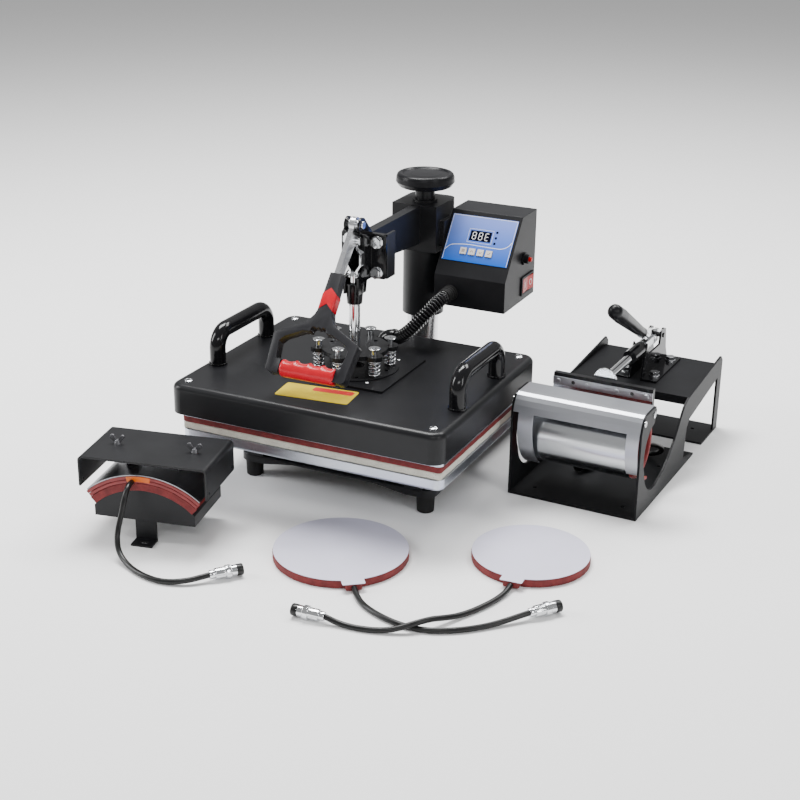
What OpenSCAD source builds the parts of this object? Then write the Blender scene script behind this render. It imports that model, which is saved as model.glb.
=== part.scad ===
// Combination heat press set: a swing-away flat press, a cap press, a mug press
// and two plate heaters, laid out beside each other. Millimetres, +Z up.

/* [Base] */
// Height of the rubber feet under their shoulders
foot_h = 25; // [15:1:30]
// Diameter of the rubber feet
foot_d = 25; // [18:1:30]
// Sideways distance of the feet from the middle of the platen
foot_x = 130; // [110:1:140]
// Front row of feet
foot_front = -58; // [-80:1:-40]
// Rear row of feet
foot_rear = 262; // [250:1:280]
// Height of the folded base tray
base_h = 11; // [9:1:30]
// Sheet thickness of the base tray and stand
base_t = 3; // [2:0.5:4]
// How far the base tray reaches past the feet
base_margin = 16; // [16:1:30]
// Height of the stand that carries the lower platen
stand_h = 38.6; // [30:0.1:60]
// Width of the stand
stand_w = 220; // [160:1:260]
// Depth of the stand
stand_d = 150; // [100:1:200]

/* [Platens] */
// Width of the lower platen and of the heating plate
platen_w = 380; // [300:1:400]
// Depth of the lower platen and of the heating plate
platen_d = 292; // [240:1:300]
// Thickness of the lower platen
lower_t = 15; // [8:0.1:18]
// Thickness of the cotton pad
cotton_t = 10; // [5:0.1:15]
// Thickness of the silicone pad
silicone_t = 8.6; // [4:0.1:12]
// Thickness of the heating plate
heating_t = 14; // [13:0.5:20]
// Running gap between the silicone pad and the heating plate
press_gap = 0.3; // [0.2:0.1:1]

/* [Cover] */
// Width of the cover shell
cover_w = 392; // [388:1:420]
// Depth of the cover shell
cover_d = 327; // [300:1:340]
// Height of the cover shell
cover_h = 40.8; // [30:0.1:60]
// Height of the cover's rim above the heating plate's face
cover_rim = 9; // [6:0.1:12]
// Wall of the cover shell
cover_t = 3; // [2:0.5:4]
// Corner radius of the cover in plan
cover_r = 18; // [12:1:30]
// Radius along the cover's top edges
cover_edge = 8; // [6:1:10]
// Sideways place of the grab handles
grab_x = 177; // [160:1:180]
// Front leg of the grab handles
grab_front = -70; // [-90:1:-60]
// Rear leg of the grab handles
grab_rear = 60; // [50:1:90]
// Height of the grab handles above the cover
grab_h = 55; // [45:1:70]
// Diameter of the grab handles' tube
grab_d = 22; // [16:1:26]
// Bend radius of the grab handles
grab_bend = 22; // [18:1:28]

/* [Spring carrier] */
// Sideways place of the press axis and of the column
press_x = -5; // [-10:1:10]
// Width of the square plate on the cover
carrier_w = 150; // [140:1:170]
// Depth of the square plate on the cover
carrier_d = 138; // [134:1:150]
// Thickness of the square plate
carrier_t = 3; // [2:0.5:5]
// Radius of the spring seat on the square plate
seat_r = 60; // [58:1:64]
// Radius of the ring of spring bolts
bolt_ring = 48; // [44:1:50]
// Number of spring bolts
bolt_count = 6; // [4:1:6]
// Shank diameter of the spring bolts
bolt_d = 8; // [6:0.5:9]
// Head diameter of the spring bolts
bolt_head_d = 16; // [13:1:18]
// Free length between the seat and the pressure plate
spring_l = 22; // [18:1:28]
// Outer diameter of the springs
spring_d = 16; // [14:0.5:18]
// Wire diameter of the springs
wire_d = 2.2; // [1.5:0.1:2.6]
// Curls in each spring
spring_turns = 5; // [4:1:6]
// Thickness of the round pressure plate
pressure_t = 6; // [4:0.5:10]
// Radius of the round pressure plate between its lobes
pressure_r = 46; // [40:1:50]
// Radius of each lobe round a spring bolt
lobe_r = 11; // [9.5:0.5:12]
// How far the springs relax when the press opens
relax = 7.6; // [4:0.1:10]

/* [Toggle] */
// Height of the lever's pivot above the floor
pivot_z = 358; // [350:1:370]
// Length of the lever's crank
crank = 22; // [18:1:26]
// Length of the links
link_l = 48; // [44:1:56]
// Angle of the closed lever from straight down
lever_angle = 39; // [30:1:50]
// Thickness of the lever's steel tongue
tongue_t = 7; // [5:0.5:8]
// Thickness of each link
link_t = 2.5; // [2:0.5:3]
// Height of the rivet heads on the links
rivet_h = 1.5; // [1:0.1:2]
// Side gap between the moving plates
side_gap = 0.3; // [0.3:0.1:0.6]
// Thickness of the toggle's cheek plates
cheek_t = 3; // [2:0.5:4]
// Diameter of the plunger rod
rod_d = 15; // [12:1:18]
// Radial running clearance of rods and pins
run = 0.05; // [0.03:0.01:0.08]
// Outer diameter of the plunger's guide
guide_d = 22; // [20:1:28]
// Lower end of the guide above the pivot, measured down
guide_drop = 107; // [100:1:115]
// Length of the guide
guide_l = 28; // [20:1:30]
// Width of the toggle's mounting flange
flange_w = 66; // [60:1:72]
// Height of the toggle's mounting flange
flange_h = 61; // [56:1:64]
// Distance from the press axis to the flange's front face
flange_y = 26; // [24:1:32]
// Sideways place of the flange bolts
flange_bolt_x = 20.5; // [20:0.5:23]
// Upper and lower flange bolts, distance apart
flange_bolt_z = 42; // [34:1:44]

/* [Lever] */
// Distance from the pivot to the top of the moulded handle
stem_start = 73; // [64:1:78]
// Distance from the pivot to the middle of the grip bar
grip_s = 208; // [190:1:230]
// Width of the handle across its shoulders
handle_w = 121; // [100:1:140]
// Thickness of the moulded handle
handle_t = 15; // [12:1:20]
// Length of the red grip
grip_l = 77; // [50:1:84]
// Radius of the red grip
grip_r = 12; // [10:0.5:14]
// Radius of the bar inside the grip
grip_core_r = 6.5; // [5:0.5:8]

/* [Column and arm] */
// Distance of the column behind the press axis
col_y = 220; // [215:1:230]
// Diameter of the chromed column
post_d = 45; // [38:1:50]
// Outer diameter of the arm's sleeve
sleeve_d = 60; // [56:1:64]
// Lower end of the arm's sleeve
sleeve_z = 176; // [170:1:190]
// Lower face of the head block
head_z = 274; // [260:1:280]
// Height of the head block
head_h = 67; // [62:1:80]
// Width of the head block
head_w = 64; // [62:1:72]
// Depth of the head block
head_d = 62; // [60:1:72]
// Travel of the arm on the pressure screw
lift = 6; // [4:0.5:8]
// Thickness of the swing arm's bar
bar_t = 14; // [10:1:16]
// Depth of the bar at its front end
bar_front_h = 44; // [36:1:50]
// Depth of the bar at the head block
bar_rear_h = 54; // [44:1:60]
// Diameter of the pressure knob
knob_d = 84; // [70:1:90]
// Height of the pressure knob's rim
knob_h = 20; // [16:1:34]
// Diameter of the knob's hub
hub_d = 28; // [24:1:32]
// Diameter of the pressure screw
screw_d = 14; // [12:1:16]

/* [Control box] */
// Width of the control box
box_w = 107; // [95:1:120]
// Depth of the control box
box_d = 115; // [100:1:130]
// Height of the control box
box_h = 124.6; // [110:0.1:140]
// Height of its upright front below the slanted face
box_lip = 44; // [36:1:50]
// How far the top front edge is set back
box_back = 60; // [50:1:70]
// Sheet thickness of the control box
box_t = 2; // [1.5:0.5:3]
// Gap between the head block and the box, filled by a lug
lug_t = 7; // [4:1:12]
// Front face of the control box behind the press axis
box_y = 171.5; // [165:0.5:180]
// Underside of the control box
box_z = 206.5; // [200:0.5:215]
// Thickness of the blue panel
panel_t = 0.8; // [0.5:0.1:1.5]
// Border round the blue panel
panel_edge = 4; // [3:1:8]
// Height of the blue panel along the slanted face
panel_h = 70; // [60:1:74]
// Side of each square panel button
button_w = 9.6; // [6:0.1:11]
// Distance between panel buttons
button_pitch = 12.9; // [11:0.1:14]
// Width of the display window
window_w = 32.2; // [28:0.1:40]
// Height of the display window
window_h = 15.7; // [10:0.1:18]

/* [Wiring hose] */
// Outer diameter of the ribbed hose
hose_d = 18; // [15:1:22]
// Bore of the ribbed hose
hose_bore = 13; // [10:1:14]
// Ribs along the hose
hose_ribs = 30; // [20:1:60]
// Place of the gland on the box, across
gland_x = 25; // [20:1:40]
// Place of the gland on the box, above its underside
gland_z = 19.5; // [16:0.5:28]
// Length of the ribbed gland
gland_l = 24; // [18:1:30]
// Bend radius of the elbow on the cover
elbow_r = 13; // [12:0.5:16]
// Distance of the elbow behind the press axis
elbow_y = 104; // [100:1:110]

/* [Cap press] */
// Width of the cap press bracket
cap_w = 170.5; // [165:0.5:200]
// Depth of the cap press bracket
cap_d = 98.4; // [80:0.2:110]
// Underside of the bracket's side walls
cap_side_z = 68.8; // [60:0.2:75]
// Top of the bracket
cap_top_z = 109.5; // [106:0.5:125]
// Sheet thickness of the cap press
cap_t = 2.5; // [2:0.5:4]
// Radius of the curved cap form
form_r = 96; // [90:1:105]
// Height of the crown of the cap form
form_top = 71; // [66:1:76]
// Width of the cap form
form_w = 134; // [120:1:140]
// Depth of the cap form
form_d = 92.5; // [80:0.5:98]
// Underside of the cap form
form_z = 29.3; // [20:0.1:40]
// Thickness of the curved pad
cap_pad_t = 10.5; // [6:0.5:12]
// Thickness of the curved heater
cap_heater_t = 9; // [5:0.5:10]
// Half the angle that the curved heater spans
cap_span = 41; // [36:1:43]
// Width of the foot straps
cap_foot_w = 28; // [20:1:40]
// Sideways place of the wing screws
wing_x = 52; // [46:1:60]

/* [Mug press] */
// Width of the mug press frame
mug_w = 182; // [170:1:200]
// Depth of the mug press frame
mug_l = 365; // [350:1:380]
// Sheet thickness of the mug press frame
mug_t = 3; // [2:0.5:4]
// Depth of the front tray
tray_d = 248; // [230:1:260]
// Front edge of the rear base strip
rear_y = 288; // [275:1:300]
// Front edge of the shelf
shelf_y = 205; // [195:1:215]
// Top of the shelf
shelf_z = 103; // [95:1:110]
// Distance of the drum's axis from the front
drum_y = 55; // [52:1:60]
// Height of the drum's axis
drum_z = 82; // [78:1:86]
// Outer radius of the drum
drum_r = 44; // [40:0.5:46]
// Length of the drum
drum_l = 140; // [120:1:145]
// Thickness of the drum's steel jacket
jacket_t = 1; // [0.8:0.1:2]
// Thickness of the drum's silicone heater
liner_t = 4.5; // [3:0.5:6]
// Length of the clamp bar
clamp_l = 142; // [130:1:150]
// Height of the mug plunger's axis
mug_axis_z = 146; // [143:1:150]
// Distance of the mug lever's pivot from the front
mug_pivot_y = 322; // [318:1:330]
// Crank of the mug lever
mug_crank = 22; // [18:1:24]
// Link of the mug lever
mug_link_l = 38; // [34:1:44]
// Diameter of the mug plunger
mug_rod_d = 12; // [10:1:14]
// Length of the mug lever's grip
mug_grip_l = 152; // [120:1:160]
// Largest radius of the mug lever's grip
mug_grip_r = 11; // [9:0.5:13]
// Rise of the mug lever's grip from level
mug_grip_rise = 28.5; // [20:0.5:35]

/* [Plate heaters] */
// Diameter of the large plate heater
large_d = 170; // [150:1:200]
// Diameter of the small plate heater
small_d = 148; // [120:1:160]
// Thickness of the silicone under the plates
disc_t = 10.2; // [6:0.2:14]
// Thickness of the white plates
white_t = 0.8; // [0.5:0.1:2]
// Width of the square tab
tab_w = 28; // [20:1:34]
// Reach of the square tab past the disc
tab_l = 10; // [6:1:16]
// Diameter of the heater cords
cord_d = 7; // [6:0.5:8]

/* [Hidden] */
$fn = 64;
gap = 0.3;
eps = 0.01;
skin = 1;

// Middle of the set's footprint, where the frame's origin stands
set_mid = [76.3, 43.6];

// Stack of heights on the press axis
base_z = foot_h;
base_top = base_z + base_h;
lower_z = base_top + stand_h;
cotton_z = lower_z + lower_t;
silicone_z = cotton_z + cotton_t;
heating_z = silicone_z + silicone_t + press_gap;
cover_z = heating_z + cover_rim;
cover_top = cover_z + cover_h;
carrier_top = cover_top + carrier_t;
seat_top = carrier_top + 1.5;
pressure_z = seat_top + spring_l;
pressure_top = pressure_z + pressure_t;
bolt_under = pressure_top + relax + gap;

// Toggle: the plunger's pin hangs straight under the pivot when the press is closed
pin_z = pivot_z - crank - link_l;
guide_z = pivot_z - guide_drop;
link_in = tongue_t / 2 + side_gap;
link_out = link_in + link_t;
cheek_in = link_out + rivet_h + 2 * side_gap;
cheek_out = cheek_in + cheek_t;
pin_r = 4;
hub_r = 10;
flange_t = 4;
flange_z = pivot_z - 17 - flange_h;
channel_y = flange_y + flange_t;
channel_d = 24;
channel_t = 3.5;
bolt_mid_z = flange_z + flange_h / 2 - 1;

// Column
head_top = head_z + head_h;
post_top = 300;
washer_t = 3.7;
tip_z = post_top + gap + washer_t + gap;
bore_top = post_top + lift + 2;
hub_z = head_top - 2;
knob_z = head_top + 20.5;
bar_top = head_top - 1;
head_side = 5;
head_back = 12;
head_front = col_y - head_d / 2;

// Control box
box_x = press_x + head_w / 2 + lug_t;
box_slope = atan2(box_h - box_lip, box_back);
slant_l = norm([box_h - box_lip, box_back]);
panel_s = (slant_l - panel_h) / 2 + 8;
button_s = panel_s + 16;
button_x = box_w / 2 - 20;
window_x = box_w / 2 - 16.7;
window_s = panel_s + 32.8;
rocker_y = 65;
rocker_z = 11.5;
rocker_l = 36;
rocker_w = 20.6;
bush_y = 68;
bush_z = 63;
bush_d = 16;
push_d = 6.5;
push_travel = 2;

// Wiring hose: a cubic curve from the gland's mouth to the elbow's mouth
gland_at = [box_x + gland_x, box_y, box_z + gland_z];
hose_start = gland_at - [0, gland_l, 0];
elbow_x = press_x - 6;
elbow_mouth = [elbow_x + elbow_r + 4, elbow_y, cover_top + elbow_r];
hose_bend_a = hose_start - [0, 42, 2];
hose_bend_b = elbow_mouth + [20, 0, 5];

// Cap press place and arcs
cap_x = -155.6;
cap_y = -254.7;
cap_turn = 11.6;
arc_z = form_top - form_r;
pad_r = form_r + cap_pad_t;
heater_in = pad_r + gap;
heater_out = heater_in + cap_heater_t;
cap_foot_y = form_d / 2 - cap_t;

// Mug press place, toggle and drum
mug_x = 207;
mug_y = 42.4;
mug_turn = -2;
drum_x = (mug_w - drum_l) / 2;
jacket_in = drum_r - jacket_t;
liner_in = jacket_in - liner_t;
clamp_x = mug_w / 2 - clamp_l / 2;
clamp_y = 98;
clamp_t = 8;
clamp_top = mug_axis_z + 1;
clamp_h = 24;
strip_t = 2;
washer_y = clamp_y + clamp_t;
mug_pin_y = mug_pivot_y - mug_crank - mug_link_l;
mug_guide = [205, 250];
mug_guide_d = 20;
mug_root = [mug_pivot_y - 52, mug_axis_z + 13.6];

// Plate heaters: places and the ways their tabs point
large_at = [90, -222];
large_turn = -53;
small_at = [304, -124];
small_turn = -86;

// Cord routes, points on the cords' middle lines
cap_route = [
    [-158.5, -305.8, 82.5], [-157, -313, 82.3], [-155.2, -321, 79.5], [-154, -327.5, 73.5],
    [-154.2, -331.5, 65], [-155, -334.5, 55], [-156, -338, 45], [-156.5, -342, 35],
    [-155, -347, 25.5], [-150.5, -353, 17], [-143, -359, 10.5], [-132.5, -365, 6.2],
    [-120, -371, 4], [-106, -377, 3.6], [-91, -381.5, 3.6], [-76, -383.5, 3.6],
    [-61.5, -382, 4], [-48, -377, 5], [-36, -369.5, 6.4], [-26.5, -360, 7.8], [-20, -352.5, 8.6]];
large_route = [
    [146.5, -297, 6], [152, -304.2, 5.4], [159, -312, 4.4], [168, -320.5, 3.6],
    [180, -329, 3.6], [194, -336, 3.6], [209, -341.5, 3.6], [225, -345.5, 3.6],
    [241, -347, 3.6], [257, -345.5, 3.6], [272, -341, 3.6], [286, -333.5, 3.6],
    [299, -324.5, 3.6], [311, -314, 3.6], [322, -303, 4], [332, -292, 5], [341, -281.5, 6.4],
    [349, -272, 7.8], [355, -264.5, 8.6]];
small_route = [
    [310, -208, 6], [310.4, -217, 5.2], [309.5, -228, 4.2], [307, -240, 3.6],
    [303.5, -253, 3.6], [298.5, -266.5, 3.6], [292.5, -280, 3.6], [285.5, -293.5, 4],
    [278.5, -306, 5.5], [271, -318.5, 8.2], [263.5, -330, 10.8], [256, -340.5, 11.4],
    [247.5, -350, 10.4], [237.5, -358, 7.6], [226, -364.5, 5], [212.5, -370, 3.8],
    [197.5, -374, 3.6], [182, -376, 3.6], [166.5, -376.8, 5], [151, -377.2, 8.6]];
mug_route = [
    [150, 97.3, 63], [150.3, 106, 61.2], [151.2, 116, 58.6], [152.6, 129, 54.6], [154.2, 143, 49.4],
    [155.6, 157, 43], [156, 171, 35.6], [154.6, 184, 27.4], [150.6, 195, 19.2],
    [143.4, 202, 12.2], [133.6, 204.2, 7.9], [123, 201, 6.7], [113.4, 194, 6.6],
    [105.4, 184, 6.6], [98.4, 172.6, 6.9], [91.8, 160.6, 8], [85.4, 148.6, 9.8], [79.6, 138, 11.6]];

// Colours
black_paint = "#1c1d20";
gloss_black = "#0b0b0d";
soft_black = "#26272b";
rubber_black = "#151516";
silver = "#c3c6cb";
bright = "#dfe1e4";
chrome = "#b9bcc0";
red_rubber = "#b2463a";
grip_red = "#c8202c";
cotton = "#d8d4bd";
blue = "#4f86d6";
white_plate = "#dcdae6";

// ---- Places -------------------------------------------------------------------------------

module placed() translate([-set_mid.x, -set_mid.y, 0]) children();
module on_axis() placed() translate([press_x, 0, 0]) children();
module at_column() placed() translate([press_x, col_y, 0]) children();
module at_box() placed() translate([box_x, box_y, box_z]) children();
module on_slant() at_box() translate([0, 0, box_lip]) rotate([box_slope, 0, 0]) children();
module at_cap() placed() translate([cap_x, cap_y, 0]) rotate(cap_turn) children();
module at_mug() placed() translate([mug_x, mug_y, 0]) rotate(mug_turn) children();
module on_lever() on_axis() translate([0, 0, pivot_z]) rotate([-lever_angle, 0, 0]) children();

// ---- Shared shapes ------------------------------------------------------------------------

// Extrudes a Y-Z outline along X from x0
module along_x(x0, length) translate([x0, 0, 0]) rotate([90, 0, 90])
    linear_extrude(length) children();

// Extrudes an X-Z outline along Y from y0
module along_y(y0, length) translate([0, y0 + length, 0]) rotate([90, 0, 0])
    linear_extrude(length) children();

// Rectangle with round corners, centred
module pane(w, d, r) {
    square([w - 2 * r, d], center = true);
    square([w, d - 2 * r], center = true);
    for (x = [-1, 1], y = [-1, 1]) translate([x * (w / 2 - r), y * (d / 2 - r)]) circle(r);
}

// Bar between two discs of different radius, with tangent sides
module taper_bar(p, pr, q, qr) {
    way = atan2(q.y - p.y, q.x - p.x);
    lean = acos((pr - qr) / norm(q - p));
    a = [cos(way + lean), sin(way + lean)];
    b = [cos(way - lean), sin(way - lean)];
    translate(p) circle(pr);
    translate(q) circle(qr);
    polygon([p + pr * a, q + qr * a, q + qr * b, p + pr * b]);
}

// Half outline of a disc with a rounded upper rim
module rim_outline(r, h, edge) {
    square([r - edge, h]);
    square([r, h - edge]);
    translate([r - edge, h - edge]) circle(edge);
}

// Outline of a slab seen from its end, with rounded upper edges
module end_outline(w, h, edge) {
    for (side = [0, 1]) mirror([side, 0]) rim_outline(w / 2, h, edge);
}

// Slab with round corners in plan and rounded upper edges
module soft_slab(w, d, h, corner, edge) {
    for (x = [-1, 1], y = [-1, 1])
        translate([x * (w / 2 - corner), y * (d / 2 - corner), 0])
            rotate_extrude() intersection() {
                rim_outline(corner, h, edge);
                square([corner, h]);
            }
    along_x(corner - w / 2, w - 2 * corner) end_outline(d, h, edge);
    along_y(corner - d / 2, d - 2 * corner) end_outline(w, h, edge);
}

// Hexagon screw head or nut
module hex(across, h) rotate(30) cylinder(d = across / cos(30), h = h, $fn = 6);

// Washer with a hexagon head on it and a shank below
module hex_bolt(across, head_h, washer_r, washer_h, shank_d, shank_l) {
    cylinder(r = washer_r, h = washer_h);
    translate([0, 0, washer_h]) hex(across, head_h);
    translate([0, 0, -shank_l]) cylinder(d = shank_d, h = shank_l + eps);
}

// Rounded end of a grip or knob: a disc with a rounded rim
module button_cap(r, h, edge) rotate_extrude() rim_outline(r, h, edge);

// ---- Tubes along a route ------------------------------------------------------------------

function unit(v) = v / norm(v);
function tangents(path) =
    [for (i = [0 : len(path) - 1]) unit(path[min(i + 1, len(path) - 1)] - path[max(i - 1, 0)])];
function first_normal(t) = unit(cross(t, abs(t.z) < 0.9 ? [0, 0, 1] : [1, 0, 0]));
function carry(n, t) = unit(n - (n * t) * t);
function normals(ts) =
    [for (i = 0, n = first_normal(ts[0]); i < len(ts); i = i + 1, n = i < len(ts) ? carry(n, ts[i]) : n) n];
function ring(c, t, n, r, sides) =
    [for (k = [0 : sides - 1]) c + r * (cos(360 * k / sides) * n + sin(360 * k / sides) * cross(t, n))];
function rings(path, radii, sides) =
    let (ts = tangents(path), ns = normals(ts))
    [for (i = [0 : len(path) - 1]) each ring(path[i], ts[i], ns[i], radii[i], sides)];
// Triangles between rings i and i + 1 of a skin whose points start at base
function skin_faces(count, sides, base, flip) =
    [for (i = [0 : count - 2], k = [0 : sides - 1])
        let (a = base + i * sides + k, b = base + i * sides + (k + 1) % sides, c = b + sides, d = a + sides)
        each flip ? [[a, c, d], [a, b, c]] : [[a, d, c], [a, c, b]]];

// Solid tube with a radius at each point of its path
module solid_tube(path, radii, sides) {
    n = len(path);
    last = (n - 1) * sides;
    polyhedron(
        rings(path, radii, sides),
        concat(
            skin_faces(n, sides, 0, false),
            [for (k = [1 : sides - 2]) [0, k, k + 1]],
            [for (k = [1 : sides - 2]) [last, last + k + 1, last + k]]));
}

// Tube with a bore, both along the same path
module bored_tube(path, radii, bore_r, sides) {
    n = len(path);
    inner = n * sides;
    last = (n - 1) * sides;
    polyhedron(
        concat(rings(path, radii, sides), rings(path, [for (p = path) bore_r], sides)),
        concat(
            skin_faces(n, sides, 0, false),
            skin_faces(n, sides, inner, true),
            [for (k = [0 : sides - 1]) let (j = (k + 1) % sides) each
                [[k, j, inner + j], [k, inner + j, inner + k]]],
            [for (k = [0 : sides - 1]) let (j = (k + 1) % sides) each
                [[last + k, inner + last + j, last + j], [last + k, inner + last + k, inner + last + j]]]));
}

module cord(route) solid_tube(route, [for (p = route) cord_d / 2], 8);

// Coil of a spring, from its lower to its upper ring
function coil(r, z0, z1, turns, steps) =
    [for (i = [0 : turns * steps])
        [r * cos(360 * i / steps), r * sin(360 * i / steps), z0 + (z1 - z0) * i / (turns * steps)]];

// Point at t from 0 to 1 on a cubic curve
function cubic(a, b, c, d, t) =
    pow(1 - t, 3) * a + 3 * t * pow(1 - t, 2) * b + 3 * t * t * (1 - t) * c + pow(t, 3) * d;

// Least distance between the surfaces of a tube's own turns
function least_gap(path, apart, d) =
    min([for (i = [0 : len(path) - 1 - apart], j = [i + apart : len(path) - 1]) norm(path[i] - path[j])]) - d;

// ---- Base and lower platen ----------------------------------------------------------------

base_w = 2 * (foot_x + base_margin);
base_d = foot_rear - foot_front + 2 * base_margin;
base_mid = (foot_rear + foot_front) / 2;

// Folded tray, open below, with four shoulders for the feet and two hand holes
module base_frame() color(black_paint) placed() {
    translate([0, base_mid, base_z]) difference() {
        soft_slab(base_w, base_d, base_h, base_margin, 4);
        translate([0, 0, -eps])
            soft_slab(base_w - 2 * base_t, base_d - 2 * base_t, base_h - base_t + eps, base_margin - base_t, 2);
        for (side = [-1, 1]) translate([side * base_w / 4, 0, 0]) linear_extrude(base_h + 1) pane(60, 120, 20);
        along_y(-base_d, 2 * base_d) polygon([
            [16 - foot_x, -1], [68 - foot_x, base_h - base_t - 1], [foot_x - 68, base_h - base_t - 1], [foot_x - 16, -1]]);
    }
    for (x = [-foot_x, foot_x], y = [foot_front, foot_rear])
        translate([x, y, base_z]) cylinder(d = foot_d + 6, h = base_h - 1);
}

module rubber_feet() color(rubber_black) placed()
    for (x = [-foot_x, foot_x], y = [foot_front, foot_rear])
        translate([x, y, 0]) rotate_extrude() polygon([
            [0, 0], [foot_d / 2 - 2.5, 0], [foot_d / 2 - 1, 1.5], [foot_d / 2, foot_h], [0, foot_h]]);

// Bent stand: a top shelf on two side walls with feet that turn outwards
module platen_stand() color(black_paint) placed() {
    foot_reach = 22;
    half = stand_w / 2;
    difference() {
        along_y(-stand_d / 2, stand_d) difference() {
            union() {
                translate([-half, base_top]) square([stand_w, stand_h]);
                translate([-half - foot_reach, base_top]) square([stand_w + 2 * foot_reach, base_t]);
            }
            translate([-half + base_t, base_top - eps]) square([stand_w - 2 * base_t, stand_h - base_t + eps]);
        }
        translate([0, 0, lower_z - base_t - 1]) linear_extrude(base_t + 2) pane(stand_w - 60, stand_d - 50, 12);
    }
    for (x = [-1, 1], y = [-1, 1])
        translate([x * (half + foot_reach / 2 + 2), y * (stand_d / 2 - 20), base_top + base_t]) hex(10, 4);
}

// Cast platen with a rounded lower edge
module lower_platen() color(silver) placed()
    translate([0, 0, cotton_z]) mirror([0, 0, 1]) soft_slab(platen_w, platen_d, lower_t, 12, 4);

module cotton_pad() color(cotton) placed()
    translate([0, 0, cotton_z]) linear_extrude(cotton_t) pane(platen_w - 3, platen_d - 3, 5);

module silicone_pad() color(red_rubber) placed()
    translate([0, 0, silicone_z]) linear_extrude(silicone_t) pane(platen_w - 2, platen_d - 2, 5);

// ---- Heated upper platen ------------------------------------------------------------------

// Cast heating plate; the boss on its back carries the cover and the spring bolts
module heating_plate() color(bright) placed() {
    translate([0, 0, heating_z]) linear_extrude(heating_t) pane(platen_w, platen_d, 8);
    translate([press_x, 0, heating_z + heating_t]) linear_extrude(cover_top - cover_t - heating_z - heating_t)
        pane(130, 118, 10);
}

// Moulded cover, open below
module cover_shell() color(black_paint) placed() difference() {
    translate([0, 0, cover_z]) soft_slab(cover_w, cover_d, cover_h, cover_r, cover_edge);
    translate([0, 0, cover_z - eps])
        soft_slab(cover_w - 2 * cover_t, cover_d - 2 * cover_t, cover_h - cover_t + eps,
            cover_r - cover_t, cover_edge - cover_t);
    translate([press_x, 0, cover_z]) spring_places() cylinder(d = bolt_d, h = cover_h + 1);
}

module spring_places() for (i = [0 : bolt_count - 1]) rotate(30 + 360 * i / bolt_count)
    translate([bolt_ring, 0, 0]) children();

module grab_handles() color(gloss_black) placed()
    for (side = [-1, 1]) translate([side * grab_x, 0, cover_top]) grab_handle();

// Bent tube: two legs with collars, two quarter bends and the bar between them
module grab_handle() {
    mid = grab_h - grab_d / 2;
    for (y = [grab_front, grab_rear]) translate([0, y, 0]) {
        cylinder(d = grab_d, h = mid - grab_bend);
        cylinder(d = grab_d + 3, h = 2.5);
    }
    translate([0, 0, mid - grab_bend]) rotate([90, 0, 90]) {
        translate([grab_front + grab_bend, 0, 0]) rotate(90)
            rotate_extrude(angle = 90) translate([grab_bend, 0]) circle(d = grab_d);
        translate([grab_rear - grab_bend, 0, 0])
            rotate_extrude(angle = 90) translate([grab_bend, 0]) circle(d = grab_d);
    }
    translate([0, grab_front + grab_bend, mid]) rotate([-90, 0, 0])
        cylinder(d = grab_d, h = grab_rear - grab_front - 2 * grab_bend);
}

// Square plate with the raised round spring seat
module spring_carrier() color(black_paint) on_axis() difference() {
    union() {
        translate([0, 0, cover_top]) linear_extrude(carrier_t) pane(carrier_w, carrier_d, 3);
        translate([0, 0, carrier_top]) cylinder(r = seat_r, h = seat_top - carrier_top);
    }
    translate([0, 0, cover_top - 1]) cylinder(r = rod_d / 2 + 6, h = seat_top);
    translate([0, 0, cover_top - 1]) spring_places() cylinder(d = bolt_d, h = seat_top);
    for (i = [0 : bolt_count - 1]) rotate(360 * i / bolt_count)
        translate([bolt_ring, 0, cover_top + 1]) cylinder(d = 5, h = seat_top);
}

module spring_bolts() color(chrome) on_axis() spring_places() {
    translate([0, 0, cover_top - cover_t]) cylinder(d = bolt_d, h = bolt_under - cover_top + cover_t + eps);
    translate([0, 0, bolt_under]) difference() {
        rotate_extrude() polygon([
            [0, 0], [bolt_d / 2 + 1.2, 0], [bolt_head_d / 2, 1.6], [bolt_head_d / 2, 2.4],
            [bolt_head_d / 2 - 0.6, 2.8], [0, 2.8]]);
        for (turn = [0, 90]) rotate(turn) translate([-3.5, -0.7, 1.4]) cube([7, 1.4, 2]);
    }
}

spring_rings = 8;
spring_path = coil((spring_d - wire_d) / 2, seat_top + wire_d / 2, pressure_z - wire_d / 2 - gap,
    spring_turns, spring_rings);
echo(spring_gap_to_itself = least_gap(spring_path, spring_rings - 2, wire_d));

module springs() color(bright) on_axis() spring_places()
    solid_tube(spring_path, [for (p = spring_path) wire_d / 2], 6);

// ---- Plunger ------------------------------------------------------------------------------

module pressure_plate() color(black_paint) on_axis() difference() {
    translate([0, 0, pressure_z]) linear_extrude(pressure_t) difference() {
        union() {
            circle(pressure_r);
            spring_places() circle(lobe_r);
        }
        spring_places() circle(d = bolt_d + 0.8);
        for (i = [0 : bolt_count - 1]) rotate(360 * i / bolt_count) translate([pressure_r - 12, 0]) circle(d = 6);
    }
    translate([0, 0, pressure_z - 1]) cylinder(d = rod_d - 3, h = pressure_t + 2);
}

// Round rod with a shouldered foot in the plate and a flat tongue at its head
module plunger_rod() color(chrome) on_axis() {
    neck = pin_z - 16;
    translate([0, 0, pressure_z]) cylinder(d = rod_d - 3, h = pressure_t);
    translate([0, 0, pressure_top]) cylinder(d = rod_d, h = neck - pressure_top);
    intersection() {
        translate([0, 0, neck - eps]) cylinder(d = rod_d, h = 26);
        along_x(-tongue_t / 2, tongue_t) {
            translate([0, pin_z]) circle(rod_d / 2);
            translate([-rod_d / 2, neck - 1]) square([rod_d, pin_z - neck + 1]);
        }
    }
    translate([-link_out - side_gap, 0, pin_z]) rotate([0, 90, 0]) cylinder(r = pin_r, h = 2 * (link_out + side_gap));
    for (side = [-1, 1]) translate([side * (link_out + side_gap), 0, pin_z]) rotate([0, side * 90, 0])
        cylinder(r = pin_r + 1.5, h = rivet_h);
}

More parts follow.
